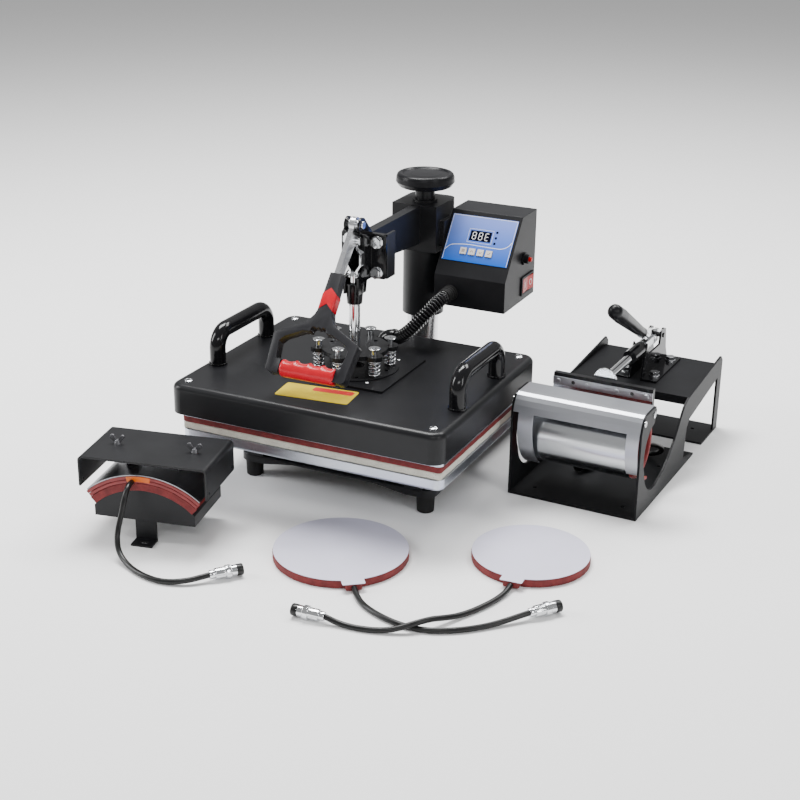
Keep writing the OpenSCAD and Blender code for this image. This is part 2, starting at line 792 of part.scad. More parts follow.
// ---- Toggle -------------------------------------------------------------------------------

// One curved link plate in Y-Z, from the plunger's pin up to the crank
module link_step() {
    out = 5.2;
    polygon([
        [link_in, -8], [link_in, 9], [link_in + out, 16.5], [link_in + out, link_l - 16.5],
        [link_in, link_l - 9], [link_in, link_l + 8], [link_out, link_l + 8], [link_out, link_l - 8.2],
        [link_out + out, link_l - 15.7], [link_out + out, 15.7], [link_out, 8.2], [link_out, -8]]);
}
module link_outline() difference() {
    union() {
        circle(6);
        translate([0, link_l]) circle(6);
        translate([-4.5, 0]) square([9, link_l]);
    }
    circle(pin_r + run);
}

// Pair of links outside the lever's tongue, each with its own rivet head at the crank
module toggle_link() color(bright) on_axis() for (side = [0, 1]) mirror([side, 0, 0]) {
    intersection() {
        along_x(link_in - 1, 12) translate([0, pin_z]) link_outline();
        along_y(-8, 16) translate([0, pin_z]) link_step();
    }
    translate([link_out - eps, 0, pin_z + link_l]) rotate([0, 90, 0]) cylinder(r = pin_r + 1, h = rivet_h);
}

// Y-Z outline of the lever's steel tongue, from the pivot
module tongue_outline() {
    root = (stem_start + 14) * [-sin(lever_angle), -cos(lever_angle)];
    taper_bar([0, 0], hub_r, [0, -crank], 8);
    taper_bar([-2, -8], 9, root, 7);
}

module toggle_lever() color(bright) on_axis() {
    along_x(-tongue_t / 2, tongue_t) translate([0, pivot_z]) difference() {
        tongue_outline();
        circle(pin_r + run);
    }
    for (side = [0, 1]) mirror([side, 0, 0]) translate([tongue_t / 2, 0, pivot_z]) rotate([0, 90, 0])
        difference() {
            cylinder(r = pin_r + 1.8, h = cheek_in - tongue_t / 2 - side_gap);
            translate([0, 0, -1]) cylinder(r = pin_r + run, h = 20);
        }
}

// Cheek plate in Y-Z, measured from the pivot
module cheek_outline() {
    back = flange_y + flange_t;
    difference() {
        union() {
            polygon([
                [back, flange_z + flange_h - pivot_z], [6, 8], [-6, -8], [6, -18], [6, -62], [-11, -70],
                [-11, -guide_drop + guide_l - 14], [11, -guide_drop + guide_l - 14],
                [14, flange_z - pivot_z], [back, flange_z - pivot_z]]);
            circle(10);
        }
        circle(pin_r);
    }
}

module toggle_frame() color(gloss_black) on_axis() {
    bore = rod_d / 2 + run;
    difference() {
        union() {
            for (x = [-cheek_out, cheek_in]) along_x(x, cheek_t) translate([0, pivot_z]) cheek_outline();
            along_y(flange_y, flange_t) translate([0, flange_z + flange_h / 2]) pane(flange_w, flange_h, 4);
            translate([0, 0, guide_z]) cylinder(d1 = guide_d - 1.5, d2 = guide_d + 3, h = guide_l);
        }
        translate([0, 0, guide_z - 1]) cylinder(r = bore, h = guide_l + 2);
        flange_bolt_places() rotate([-90, 0, 0]) translate([0, 0, -1]) cylinder(d = 10, h = flange_t + 2);
    }
}

module flange_bolt_places() for (x = [-1, 1], z = [-1, 1])
    translate([x * flange_bolt_x, flange_y, bolt_mid_z + z * flange_bolt_z / 2]) children();

module toggle_bolts() color(chrome) on_axis() {
    flange_bolt_places() rotate([90, 0, 0]) hex_bolt(13, 6, 8.3, 1.8, 10, flange_t + channel_t);
    translate([0, flange_t + channel_t, 0]) flange_bolt_places() rotate([-90, 0, 0]) hex(13, 7);
    translate([-cheek_out - eps, 0, pivot_z]) rotate([0, 90, 0]) cylinder(r = pin_r, h = 2 * (cheek_out + eps));
    for (side = [-1, 1]) translate([side * cheek_out, 0, pivot_z]) rotate([0, side * 90, 0])
        button_cap(pin_r + 1.5, 2, 1);
}

// ---- Lever handle -------------------------------------------------------------------------

// Outline of the moulded handle: X across, Y away from the pivot along the lever
module handle_outline() {
    half = handle_w / 2;
    side_w = 11;
    shoulder = grip_s - 42;
    difference() {
        union() {
            for (side = [0, 1]) mirror([side, 0]) {
                polygon([
                    [0, stem_start], [8.5, stem_start], [10, stem_start + 52], [12, stem_start + 59],
                    [20, grip_s - 64], [half - 5, shoulder - 4], [half, shoulder + 1], [half - 3.5, grip_s],
                    [half - 7, grip_s + 8], [grip_l / 2, grip_s + 9], [grip_l / 2, grip_s - 9], [0, grip_s - 20]]);
                translate([half - 5, shoulder + 1]) circle(5);
                translate([half - 11, grip_s + 2]) circle(8);
            }
        }
        for (side = [0, 1]) mirror([side, 0]) {
            polygon([
                [-1, shoulder - 17], [8, shoulder - 14], [12, shoulder - 10], [21, shoulder - 9.5],
                [44, shoulder + 2], [half - side_w, shoulder + 9], [half - side_w - 3.5, grip_s - 9],
                [-1, grip_s - 9]]);
            translate([7, shoulder - 13]) circle(4);
        }
    }
}

module lever_handle() color(soft_black) difference() {
    on_lever() {
        rotate([-90, 0, 0]) translate([0, 0, -handle_t / 2]) linear_extrude(handle_t) handle_outline();
        translate([-grip_l / 2 - 6, 0, -grip_s]) rotate([0, 90, 0]) cylinder(r = grip_core_r, h = grip_l + 12);
    }
    on_axis() along_x(-tongue_t / 2, tongue_t) translate([0, pivot_z]) tongue_outline();
}

// Red finger grip on the bar and the red chevron band round the stem
module handle_grip() color(grip_red) on_lever() {
    translate([-grip_l / 2, 0, -grip_s]) rotate([0, 90, 0]) difference() {
        rotate_extrude() polygon([
            [grip_core_r, 0], [grip_r - 1.5, 0], [grip_r, 1.5], [grip_r, grip_l - 1.5],
            [grip_r - 1.5, grip_l], [grip_core_r, grip_l]]);
        for (i = [0 : 3]) translate([-grip_r - 5.5, 0, grip_l * (i + 0.5) / 4]) rotate([90, 0, 0])
            cylinder(r = 8, h = 2 * grip_r, center = true);
    }
    chevron_band();
}

module chevron_band() {
    top = stem_start + 30;
    rise = 9;
    tall = 22;
    wrap = 0.6;
    difference() {
        rotate([-90, 0, 0]) translate([0, 0, -handle_t / 2 - wrap]) linear_extrude(handle_t + 2 * wrap) polygon([
            [0, top - rise], [10.2, top], [10.6, top + tall], [0, top + tall - rise],
            [-10.6, top + tall], [-10.2, top]]);
        rotate([-90, 0, 0]) translate([0, 0, -handle_t / 2]) linear_extrude(handle_t) handle_outline();
    }
}

// ---- Column and swing arm -----------------------------------------------------------------

module column_post() color(chrome) at_column() {
    translate([0, 0, base_top]) cylinder(d = post_d, h = post_top - base_top);
    translate([0, 0, base_top]) cylinder(d = post_d + 34, h = 8);
    for (turn = [45 : 90 : 315]) rotate(turn) translate([post_d / 2 + 9, 0, base_top + 8]) hex(10, 5);
}

module thrust_washer() color(bright) at_column()
    translate([0, 0, post_top + gap]) cylinder(d = post_d - 6, h = washer_t);

// Sleeve, head block, tapered bar and the channel that carries the toggle
module swing_arm() color(black_paint) {
    at_column() difference() {
        union() {
            translate([0, 0, sleeve_z]) cylinder(d = sleeve_d, h = head_z - sleeve_z);
            translate([-head_side / 2, head_back / 2, head_z]) linear_extrude(head_h) {
                pane(head_w + head_side, head_d + head_back, 14);
                translate([-(head_w + head_side) / 2, -(head_d + head_back) / 2])
                    square([head_w + head_side, (head_d + head_back) / 2]);
            }
            translate([0, 0, head_top]) cylinder(d = hub_d + 8, h = 3);
            translate([head_w / 2 - 4, -18, head_z + 8]) cube([lug_t + 4, 36, head_h - 30]);
        }
        translate([0, 0, sleeve_z - 1]) cylinder(r = post_d / 2 + run, h = bore_top - sleeve_z + 1);
        translate([0, 0, bore_top - 1]) cylinder(r = screw_d / 2 + run, h = head_h);
        translate([0, 0, hub_z - lift - gap]) cylinder(r = hub_d / 2 + gap, h = head_h);
    }
    on_axis() {
        along_x(-bar_t / 2, bar_t) polygon([
            [channel_y + channel_t - eps, bar_top], [head_front + eps, bar_top],
            [head_front + eps, bar_top - bar_rear_h], [head_front - 12, bar_top - bar_rear_h],
            [channel_y + channel_d, bar_top - bar_front_h], [channel_y + channel_t - eps, bar_top - bar_front_h]]);
        difference() {
            translate([-flange_w / 2, channel_y, flange_z]) cube([flange_w, channel_d, flange_h]);
            translate([-flange_w / 2 + channel_t, channel_y + channel_t, flange_z - 1])
                cube([flange_w - 2 * channel_t, channel_d, flange_h + 2]);
            translate([0, flange_t - 1, 0]) flange_bolt_places() rotate([-90, 0, 0]) cylinder(d = 10, h = 10);
        }
    }
}

// Knob with a tapered skirt, a dished top, its hub and the pressure screw
module pressure_knob() color(black_paint) at_column() {
    r = knob_d / 2;
    translate([0, 0, knob_z]) rotate_extrude() polygon(concat(
        [[0, 0], [r * 0.82, 0], [r * 0.9, 1.5], [r, knob_h * 0.38], [r - 0.6, knob_h * 0.72]],
        [for (a = [0 : 15 : 90]) [r - 6 + 5 * cos(a), knob_h - 5 + 5 * sin(a)]],
        [[r - 8, knob_h - 0.4], [r - 10, knob_h - 2], [r * 0.5, knob_h - 1], [0, knob_h - 0.6]]));
    translate([0, 0, hub_z]) cylinder(d = hub_d, h = knob_z - hub_z + eps);
    translate([0, 0, tip_z]) cylinder(d = screw_d, h = hub_z - tip_z + eps);
}

// ---- Control box --------------------------------------------------------------------------

// Side outline of the box in Y-Z, drawn in by t on every side but the rear
module box_outline(t, rear) polygon([
    [t, t], [rear, t], [rear, box_h - t], [box_back + t * tan(box_slope / 2), box_h - t],
    [t, box_lip - t * tan((90 - box_slope) / 2)]]);

module control_box() color(black_paint) difference() {
    at_box() difference() {
        along_x(0, box_w) box_outline(0, box_d);
        along_x(box_t, box_w - 2 * box_t) box_outline(box_t, box_d + 1);
        translate([box_w - box_t - 1, rocker_y, rocker_z]) cube([box_t + 2, rocker_l + 4, rocker_w + 0.4]);
        translate([box_w - box_t - 1, bush_y, bush_z]) rotate([0, 90, 0]) cylinder(d = bush_d - 4, h = box_t + 2);
        translate([gland_x, -1, gland_z]) rotate([-90, 0, 0]) cylinder(d = hose_bore, h = box_t + 2);
    }
    on_slant() {
        for (i = [0 : 3]) translate([button_x + i * button_pitch, button_s, -4]) square_peg(button_w + 1, 6);
        translate([window_x, window_s, -4]) cube([window_w - 2, window_h - 2, 6]);
    }
}

module square_peg(w, h) translate([-w / 2, -w / 2, 0]) cube([w, w, h]);

// Rear plate with the power inlet and the two sockets for the attachments
module control_box_back() color(soft_black) at_box() {
    translate([box_t + 0.2, box_d - box_t, box_t + 0.2])
        cube([box_w - 2 * box_t - 0.4, box_t, box_h - 2 * box_t - 0.4]);
    translate([box_w / 2 - 14, box_d, 14]) difference() {
        cube([28, 4, 22]);
        translate([3, 1.5, 3]) cube([22, 4, 16]);
    }
    for (x = [30, box_w - 30]) translate([x, box_d, 66]) rotate([-90, 0, 0]) difference() {
        union() {
            hex(19, 3);
            cylinder(d = 16, h = 11);
        }
        translate([0, 0, 4]) cylinder(d = 12.5, h = 8);
    }
}

// Blue overlay with its display window and three lamps
module control_panel() {
    color(blue) on_slant() difference() {
        translate([panel_edge, panel_s, 0]) cube([box_w - 2 * panel_edge, panel_h, panel_t]);
        for (i = [0 : 3]) translate([button_x + i * button_pitch, button_s, -1]) square_peg(button_w + 1, 4);
        translate([window_x, window_s, -1]) cube([window_w, window_h, 4]);
        for (i = [0 : 2]) translate([window_x + window_w + 7, window_s - 0.3 + i * 8.4, -1]) cylinder(d = 3.8, h = 4);
    }
    color(gloss_black) on_slant() {
        translate([window_x + 0.1, window_s + 0.1, 0]) cube([window_w - 0.2, window_h - 0.2, panel_t]);
        for (i = [0 : 2]) translate([window_x + window_w + 7, window_s - 0.3 + i * 8.4, 0])
            button_cap(1.8, panel_t + 0.5, 0.5);
    }
}

module panel_button(i) color(bright) on_slant()
    translate([button_x + (i - 1) * button_pitch, button_s, -2]) square_peg(button_w, panel_t + 3.4);

module panel_button_1() panel_button(1);
module panel_button_2() panel_button(2);
module panel_button_3() panel_button(3);
module panel_button_4() panel_button(4);

// Frame of the rocker switch and the threaded bush of the reset button
module switch_bezels() color(gloss_black) at_box() {
    translate([box_w, rocker_y - 3, rocker_z - 3]) difference() {
        cube([2.2, rocker_l + 10, rocker_w + 6.4]);
        translate([-1, 3, 3]) cube([5, rocker_l + 4, rocker_w + 0.4]);
    }
    translate([box_w, bush_y, bush_z]) rotate([0, 90, 0]) difference() {
        union() {
            hex(bush_d, 3);
            cylinder(d = bush_d - 3, h = 9);
        }
        translate([0, 0, -1]) cylinder(d = push_d + 0.6, h = 12);
    }
}

// Rocker that turns about an upright axis behind the bezel
module rocker() color(grip_red) at_box()
    translate([box_w - 3, rocker_y + 2 + rocker_l / 2, rocker_z + 0.2]) {
        translate([0, 0, 0.2]) linear_extrude(rocker_w - 0.4) polygon([
            [-2, -rocker_l / 2 + 2], [5.2, -rocker_l / 2], [4.4, 0], [7, rocker_l / 2], [-1, rocker_l / 2 - 2]]);
        cylinder(r = 1.4, h = rocker_w);
    }

module reset_button() color(grip_red) at_box()
    translate([box_w - 1, bush_y, bush_z]) rotate([0, 90, 0]) button_cap(push_d / 2, 14, 1.2);

// ---- Wiring hose --------------------------------------------------------------------------

module hose_gland() color(rubber_black) placed() translate(gland_at) rotate([90, 0, 0]) {
    difference() {
        union() {
            cylinder(d = hose_d + 2, h = gland_l);
            for (i = [0 : 3]) translate([0, 0, 1 + i * 5.5]) cylinder(d = hose_d + 5 - i * 0.6, h = 3);
        }
        translate([0, 0, -1]) cylinder(d = hose_bore, h = gland_l + 2);
    }
}

hose_steps = 2 * hose_ribs;
hose_path = concat(
    [hose_start, hose_start - [0, 3, 0]],
    [for (i = [1 : hose_steps - 1]) cubic(hose_start - [0, 3, 0], hose_bend_a, hose_bend_b,
        elbow_mouth + [3, 0, 0], i / hose_steps)],
    [elbow_mouth + [3, 0, 0], elbow_mouth]);
module wiring_hose() color(rubber_black) placed()
    bored_tube(hose_path, [for (i = [0 : len(hose_path) - 1]) hose_d / 2 - (i % 2 == 0 ? 0 : 1.2)], hose_bore / 2 - 0.4, 8);

// Bent fitting on the cover that takes the hose
module hose_elbow() color(rubber_black) placed() translate([elbow_x, elbow_y, cover_top]) {
    translate([elbow_r, 0, 0]) rotate([90, 0, 0]) rotate([0, 0, 90])
        rotate_extrude(angle = 90) translate([elbow_r, 0]) circle(d = hose_d + 4);
    cylinder(d = hose_d + 10, h = 3);
    translate([elbow_r - eps, 0, elbow_r]) rotate([0, 90, 0]) cylinder(d = hose_d + 6, h = 4 + eps);
}

// ---- Cap press ----------------------------------------------------------------------------

// Curved layer over the form, cut along radii
module cap_layer(inner, outer, span, y0, length) along_y(y0, length) intersection() {
    translate([0, arc_z]) difference() {
        circle(outer, $fn = 128);
        circle(inner, $fn = 128);
    }
    translate([0, arc_z]) polygon([[0, 0], 300 * [-sin(span), cos(span)], [0, 300], 300 * [sin(span), cos(span)]]);
}

// Bracket: a sheet bent down at both ends, with round bends
module cap_bracket() color(black_paint) at_cap() {
    bend = 6;
    tall = cap_top_z - cap_side_z;
    difference() {
        along_y(-cap_d / 2, cap_d) translate([0, cap_side_z]) difference() {
            end_outline(cap_w, tall, bend);
            translate([0, -eps]) end_outline(cap_w - 2 * cap_t, tall - cap_t + eps, bend - cap_t);
        }
        for (x = [-wing_x, wing_x]) translate([x, 0, cap_top_z - 10]) cylinder(d = 5, h = 12);
        for (side = [-1, 1], y = [-1, 1]) translate([side * cap_w / 2, y * (cap_d / 2 - 8), cap_side_z + 7])
            rotate([0, 90, 0]) cylinder(d = 4, h = 10, center = true);
    }
}

// Bent strip that hangs the heater from the bracket, with its two wing screws
module cap_hanger() color(silver) at_cap() {
    strip = 1.5;
    leg_x = 34;
    under = cap_top_z - cap_t;
    lie = heater_out + 0.05;
    along_y(-15, 40) {
        translate([-wing_x - 8, under - strip]) square([2 * wing_x + 16, strip]);
        for (side = [0, 1]) mirror([side, 0]) {
            translate([leg_x, 86.5]) square([strip, under - 86.5]);
        }
    }
    cap_layer(lie, lie + strip, cap_span - 1, -cap_d / 2 + 1, cap_d - 8);
    for (x = [-wing_x, wing_x]) translate([x, 0, 0]) {
        translate([0, 0, under]) cylinder(d = 5, h = cap_t);
        translate([0, 0, cap_top_z]) {
            cylinder(d1 = 9, d2 = 6.5, h = 5);
            for (wing = [0, 1]) mirror([wing, 0, 0])
                along_y(-1.1, 2.2) taper_bar([2, 3], 2, [7, 9.5], 2.8);
        }
    }
}

// Curved heater, with the patch and sleeve where its cord leaves
module cap_heater() color(red_rubber) at_cap() {
    cap_layer(heater_in, heater_out, cap_span, -cap_d / 2, cap_d - 6);
}

module cap_pad() color(red_rubber) at_cap() cap_layer(form_r, pad_r, cap_span + 1, -form_d / 2 - 2, form_d);

// Curved form on two foot straps; the form is open below
module cap_form() color(black_paint) at_cap() {
    difference() {
        along_y(-form_d / 2, form_d) form_outline(0);
        translate([0, 0, -eps]) along_y(-form_d / 2 + cap_t, form_d - 2 * cap_t) form_outline(cap_t);
        translate([0, 0, form_z - 1]) linear_extrude(cap_t) pane(form_w - 2 * cap_t, form_d - 2 * cap_t, 1);
    }
    for (side = [0, 1]) mirror([0, side, 0]) difference() {
        along_x(-cap_foot_w / 2, cap_foot_w) polygon([
            [-cap_foot_y - 18, 0], [-cap_foot_y + cap_t, 0], [-cap_foot_y + cap_t, form_z + 14],
            [-cap_foot_y, form_z + 14], [-cap_foot_y, cap_t], [-cap_foot_y - 18, cap_t]]);
        translate([0, -cap_foot_y - 9, -1]) linear_extrude(cap_t + 2) pane(11, 5, 2.4);
    }
}

module form_outline(t) intersection() {
    translate([0, arc_z]) circle(form_r - t, $fn = 128);
    translate([-form_w / 2 + t, form_z]) square([form_w - 2 * t, 100]);
}

module cap_cord() color(rubber_black) placed() cord(cap_route);

// ---- Mug press ----------------------------------------------------------------------------

// Side plate in Y-Z: front arm, round cradle, strut, shelf arm and rear leg
module mug_side_outline() difference() {
    polygon([
        [0, 0], [0, 120], [2.5, 129], [6, 136], [10.5, 141], [16, 143.6], [22, 144], [52, 144], [56, 138], [50, 120], [32, 106],
        [67, 60], [90, 26.5], [106, 30.5], [125, 40], [150, 58], [175, 85], [186, 96], [shelf_y, shelf_z],
        [mug_l - 22, 115], [mug_l - 8, 116], [mug_l, 108], [mug_l, 0], [mug_l - 20, 0], [mug_l - 20, 86],
        [214, 68], [204, 58], [198, 12], [tray_d, mug_t], [tray_d, 0]]);
    translate([67, 68]) circle(46);
    translate([drum_y, drum_z]) circle(39.5);
}

module mug_frame() color(black_paint) at_mug() {
    for (x = [0, mug_w - mug_t]) along_x(x, mug_t) difference() {
        mug_side_outline();
        for (y = [10, 46]) translate([y, 134]) circle(d = 6);
    }
    difference() {
        cube([mug_w, tray_d, mug_t]);
        for (x = [28, mug_w - 28], y = [28, tray_d - 70]) translate([x, y, -1]) cylinder(d = 6, h = mug_t + 2);
    }
    difference() {
        translate([0, rear_y, 0]) cube([mug_w, mug_l - rear_y, mug_t]);
        for (x = [28, mug_w - 28]) translate([x, mug_l - 30, -1]) cylinder(d = 6, h = mug_t + 2);
    }
    translate([0, shelf_y, shelf_z - mug_t]) cube([mug_w, mug_l - shelf_y - 6, mug_t]);
    translate([0, shelf_y, shelf_z - 12]) cube([mug_w, mug_t, 12]);
}

// Bent hood held between the side plates, with a curved guard arm in front of each drum end
module mug_hood() color(silver) at_mug() {
    along_x(mug_t, mug_w - 2 * mug_t) polygon([
        [0, 120], [2.5, 129], [6, 136], [10.5, 141], [16, 143.6], [22, 144], [54, 144], [54, 142.4], [22, 142.4],
        [16.5, 142], [11.5, 139.7], [7.4, 135.2], [4, 128.5], [1.5, 119.6]]);
    for (arm = [[mug_t + 8, 21, 37], [mug_w - mug_t - gap - 17, 17, 61]]) along_x(arm[0], arm[1]) difference() {
        translate([68.6, 99.7]) circle(71.5);
        translate([68.6, 99.7]) circle(69.9);
        translate([31, -50]) square([300, 300]);
        translate([-100, 121.5]) square([300, 100]);
        translate([-100, -100]) square([300, 100 + arm[2]]);
    }
}

// Part of a ring round the drum's axis, open at the top towards the rear
module drum_ring(inner, outer) difference() {
    circle(outer, $fn = 96);
    circle(inner, $fn = 96);
    polygon([[0, 0], 100 * [cos(48), sin(48)], 100 * [cos(70), sin(70)], 100 * [cos(92), sin(92)]]);
}

// Silicone heater band inside the jacket
module mug_heater() color(red_rubber) at_mug()
    along_x(drum_x - 4, drum_l + 8) translate([drum_y, drum_z]) drum_ring(liner_in, jacket_in);

// Steel jacket: its front edge hangs from the hood, its rear edge rises to the clamp strip
module mug_jacket() color(bright) at_mug() along_x(drum_x, drum_l) {
    mid_r = drum_r - jacket_t / 2;
    flap_y = clamp_y - strip_t + 0.5;
    flap_top = clamp_top - 16 - gap;
    translate([drum_y, drum_z]) drum_ring(jacket_in, drum_r);
    taper_bar([drum_y + mid_r * cos(47), drum_z + mid_r * sin(47)], jacket_t / 2,
        [flap_y + jacket_t / 2, 123], jacket_t / 2);
    translate([flap_y, 123]) square([jacket_t, flap_top - 123]);
    translate([drum_y - 4, drum_z + jacket_in + 0.2]) square([jacket_t, 142.2 - drum_z - jacket_in]);
}

// Clamp bar with its strip, screws and washer, carried by the plunger
module mug_clamp_bar() color(black_paint) at_mug() {
    difference() {
        translate([clamp_x, clamp_y, clamp_top - clamp_h]) cube([clamp_l, clamp_t, clamp_h]);
        for (i = [-1, 1]) translate([mug_w / 2 + i * 42, clamp_y - 1, clamp_top - 10.5]) rotate([-90, 0, 0])
            cylinder(d = 6, h = clamp_t + 2);
    }
    difference() {
        translate([clamp_x, clamp_y - strip_t, clamp_top - 16]) cube([clamp_l, strip_t, 11]);
        for (i = [-1, 1]) translate([mug_w / 2 + i * 42, clamp_y - strip_t - 1, clamp_top - 10.5]) rotate([-90, 0, 0])
            cylinder(d = 6, h = strip_t + 2);
    }
    for (i = [-3, -1, 1, 3]) translate([mug_w / 2 + i * 21, clamp_y - strip_t, clamp_top - 10.5])
        rotate([90, 0, 0]) button_cap(3.6, 2, 1.4);
}

// Rod with its round washer, a lock nut and a flat tongue at the rear
module mug_plunger() color(chrome) at_mug() {
    head = mug_pin_y - 12;
    translate([mug_w / 2, washer_y, mug_axis_z]) rotate([-90, 0, 0]) {
        cylinder(d = 32, h = 3);
        translate([0, 0, 3]) hex(18, 7);
        cylinder(d = mug_rod_d, h = head - washer_y);
    }
    intersection() {
        translate([mug_w / 2, head - eps, mug_axis_z]) rotate([-90, 0, 0]) cylinder(d = mug_rod_d, h = 22);
        along_x(mug_w / 2 - 3, 6) {
            translate([mug_pin_y, mug_axis_z]) circle(mug_rod_d / 2);
            translate([head - 1, mug_axis_z - mug_rod_d / 2]) square([mug_pin_y - head + 1, mug_rod_d]);
        }
    }
    translate([mug_w / 2 - 6.2, mug_pin_y, mug_axis_z]) rotate([0, 90, 0]) cylinder(r = 3, h = 12.4);
    for (side = [-1, 1]) translate([mug_w / 2 + side * 6.2, mug_pin_y, mug_axis_z]) rotate([0, side * 90, 0])
        cylinder(r = 4.5, h = 1);
}

// Pair of short links beside the mug lever's plate
module mug_link() color(bright) at_mug() for (side = [0, 1]) translate([mug_w / 2, 0, 0]) mirror([side, 0, 0]) {
    along_x(3.4, 2.5) difference() {
        taper_bar([mug_pin_y, mug_axis_z], 6.5, [mug_pin_y + mug_link_l, mug_axis_z], 6.2);
        translate([mug_pin_y, mug_axis_z]) circle(3 + run);
    }
    translate([5.9 - eps, mug_pin_y + mug_link_l, mug_axis_z]) rotate([0, 90, 0]) cylinder(r = 4, h = 1.2);
}

// Folded bracket on the shelf: flanges, two cheeks, the plunger's guide, bolts and pivot pin
module mug_toggle_frame() color(gloss_black) at_mug() translate([mug_w / 2, 0, 0]) {
    cheek_x = 8;
    cheek = 3;
    flange = 24;
    front = mug_guide.x + 30;
    for (side = [0, 1]) mirror([side, 0, 0]) {
        along_x(cheek_x, cheek) difference() {
            union() {
                polygon([
                    [front, shelf_z], [front + 6, mug_axis_z - 12], [mug_guide.y, mug_axis_z + 9],
                    [mug_guide.y + 8, mug_axis_z - 10], [mug_pivot_y - 14, mug_axis_z - 10],
                    [mug_pivot_y - 10, mug_axis_z + 8], [mug_pivot_y + 10, mug_axis_z + 8],
                    [mug_pivot_y + 16, shelf_z + 20], [mug_pivot_y + 26, shelf_z]]);
                translate([mug_pivot_y, mug_axis_z]) circle(11);
            }
            translate([mug_pivot_y, mug_axis_z]) circle(3.5);
        }
        translate([cheek_x, front, shelf_z]) cube([flange, mug_pivot_y + 26 - front, cheek]);
        for (y = [front + 22, mug_pivot_y + 8]) translate([cheek_x + 14, y, shelf_z + cheek])
            hex_bolt(12, 5, 7.5, 1.4, 6, 0);
    }
    difference() {
        translate([0, mug_guide.x, mug_axis_z]) rotate([-90, 0, 0]) cylinder(d = mug_guide_d, h = mug_guide.y - mug_guide.x);
        translate([0, mug_guide.x - 1, mug_axis_z]) rotate([-90, 0, 0]) cylinder(r = mug_rod_d / 2 + run, h = 60);
    }
    translate([-cheek_x - cheek - 1.5, mug_pivot_y, mug_axis_z]) rotate([0, 90, 0])
        cylinder(r = 3.5, h = 2 * (cheek_x + cheek + 1.5));
}

// Plate and stub of the mug lever
module mug_lever() color(bright) at_mug() {
    along = [-cos(mug_grip_rise), sin(mug_grip_rise)];
    along_x(mug_w / 2 - 3, 6) difference() {
        union() {
            taper_bar([mug_pivot_y, mug_axis_z], 9, [mug_pivot_y - mug_crank, mug_axis_z], 7.5);
            taper_bar([mug_pivot_y - 8, mug_axis_z + 3], 8, mug_root + 6 * along, 7);
        }
        translate([mug_pivot_y, mug_axis_z]) circle(3.5 + run);
    }
    translate([mug_w / 2, mug_root.x, mug_root.y]) rotate([90 - mug_grip_rise, 0, 0]) cylinder(r = 5.5, h = 18);
}

// Turned grip that swells towards its round end
module mug_grip() color(gloss_black) at_mug()
    translate([mug_w / 2, mug_root.x, mug_root.y]) rotate([90 - mug_grip_rise, 0, 0]) translate([0, 0, 18])
        rotate_extrude() polygon(concat(
            [[0, 0], [7, 0], [8, 1.5], [7.6, 12], [8.4, 30], [mug_grip_r - 1, mug_grip_l * 0.55],
                [mug_grip_r, mug_grip_l * 0.75]],
            [for (a = [0 : 15 : 90]) [(mug_grip_r - 0.4) * cos(a), mug_grip_l - 10 + 10 * sin(a)]]));

module mug_cord() color(rubber_black) at_mug() cord(mug_route);

// ---- Plate heaters and connectors ---------------------------------------------------------

// Silicone disc under a white plate with a square tab, the tab along +X
module plate_heater(d) {
    color(red_rubber) cylinder(d = d, h = disc_t);
    color(white_plate) translate([0, 0, disc_t]) linear_extrude(white_t) {
        circle(d = d - 1.5);
        translate([0, -tab_w / 2]) square([d / 2 + tab_l, tab_w]);
    }
    color(red_rubber) translate([d / 2 - 4, -tab_w / 2 + 4, disc_t - 8]) cube([tab_l + 2, tab_w - 8, 8]);
}

module large_plate_heater() placed() translate(large_at) rotate(large_turn) plate_heater(large_d);
module small_plate_heater() placed() translate(small_at) rotate(small_turn) plate_heater(small_d);
module large_plate_cord() color(rubber_black) placed() cord(large_route);
module small_plate_cord() color(rubber_black) placed() cord(small_route);

// Round screw connector, drawn along +X from the cord's end
module connector() rotate([0, 90, 0]) {
    cylinder(d = 11, h = 7);
    translate([0, 0, 7]) cylinder(d = 14, h = 13);
    translate([0, 0, 20]) cylinder(d = 17, h = 7);
    translate([0, 0, 27]) difference() {
        cylinder(d = 14.6, h = 15);
        translate([0, 0, 5]) cylinder(d = 11.5, h = 11);
    }
}

// Puts a connector where a route ends, level and in line with the route's last step
module connector_on(route) {
    tip = route[len(route) - 1];
    way = tip - route[len(route) - 2];
    translate(tip) rotate(atan2(way.y, way.x)) connector();
}

module cord_connectors() color(chrome) {
    placed() for (route = [cap_route, large_route, small_route]) connector_on(route);
    at_mug() connector_on(mug_route);
}

// ---- Nodes --------------------------------------------------------------------------------

base_frame();
rubber_feet();
platen_stand();
lower_platen();
cotton_pad();
silicone_pad();
column_post();
thrust_washer();
pressure_knob();
swing_arm();
toggle_frame();
toggle_bolts();
toggle_lever();
lever_handle();
handle_grip();
toggle_link();
plunger_rod();
pressure_plate();
cover_shell();
heating_plate();
grab_handles();
spring_carrier();
spring_bolts();
springs();
hose_elbow();
hose_gland();
wiring_hose();
control_box();
control_box_back();
control_panel();
switch_bezels();
rocker();
reset_button();
panel_button_1();
panel_button_2();
panel_button_3();
panel_button_4();
cap_bracket();
cap_hanger();
cap_heater();
cap_pad();
cap_form();
cap_cord();
mug_frame();
mug_hood();
mug_heater();
mug_jacket();
mug_toggle_frame();
mug_clamp_bar();
mug_plunger();
mug_link();
mug_lever();
mug_grip();
mug_cord();
large_plate_heater();
small_plate_heater();
large_plate_cord();
small_plate_cord();
cord_connectors();
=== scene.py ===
"""Looks of the combination heat press set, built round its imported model.

Lengths in the shape functions are millimetres from the middle of the lower platen, as in the
part's own drawing; metres() takes them to the row frame. Every shape is a grid of points worked
out as whole arrays.
"""
import math

import bmesh
import bpy
import numpy as np
from mathutils import Matrix, Vector


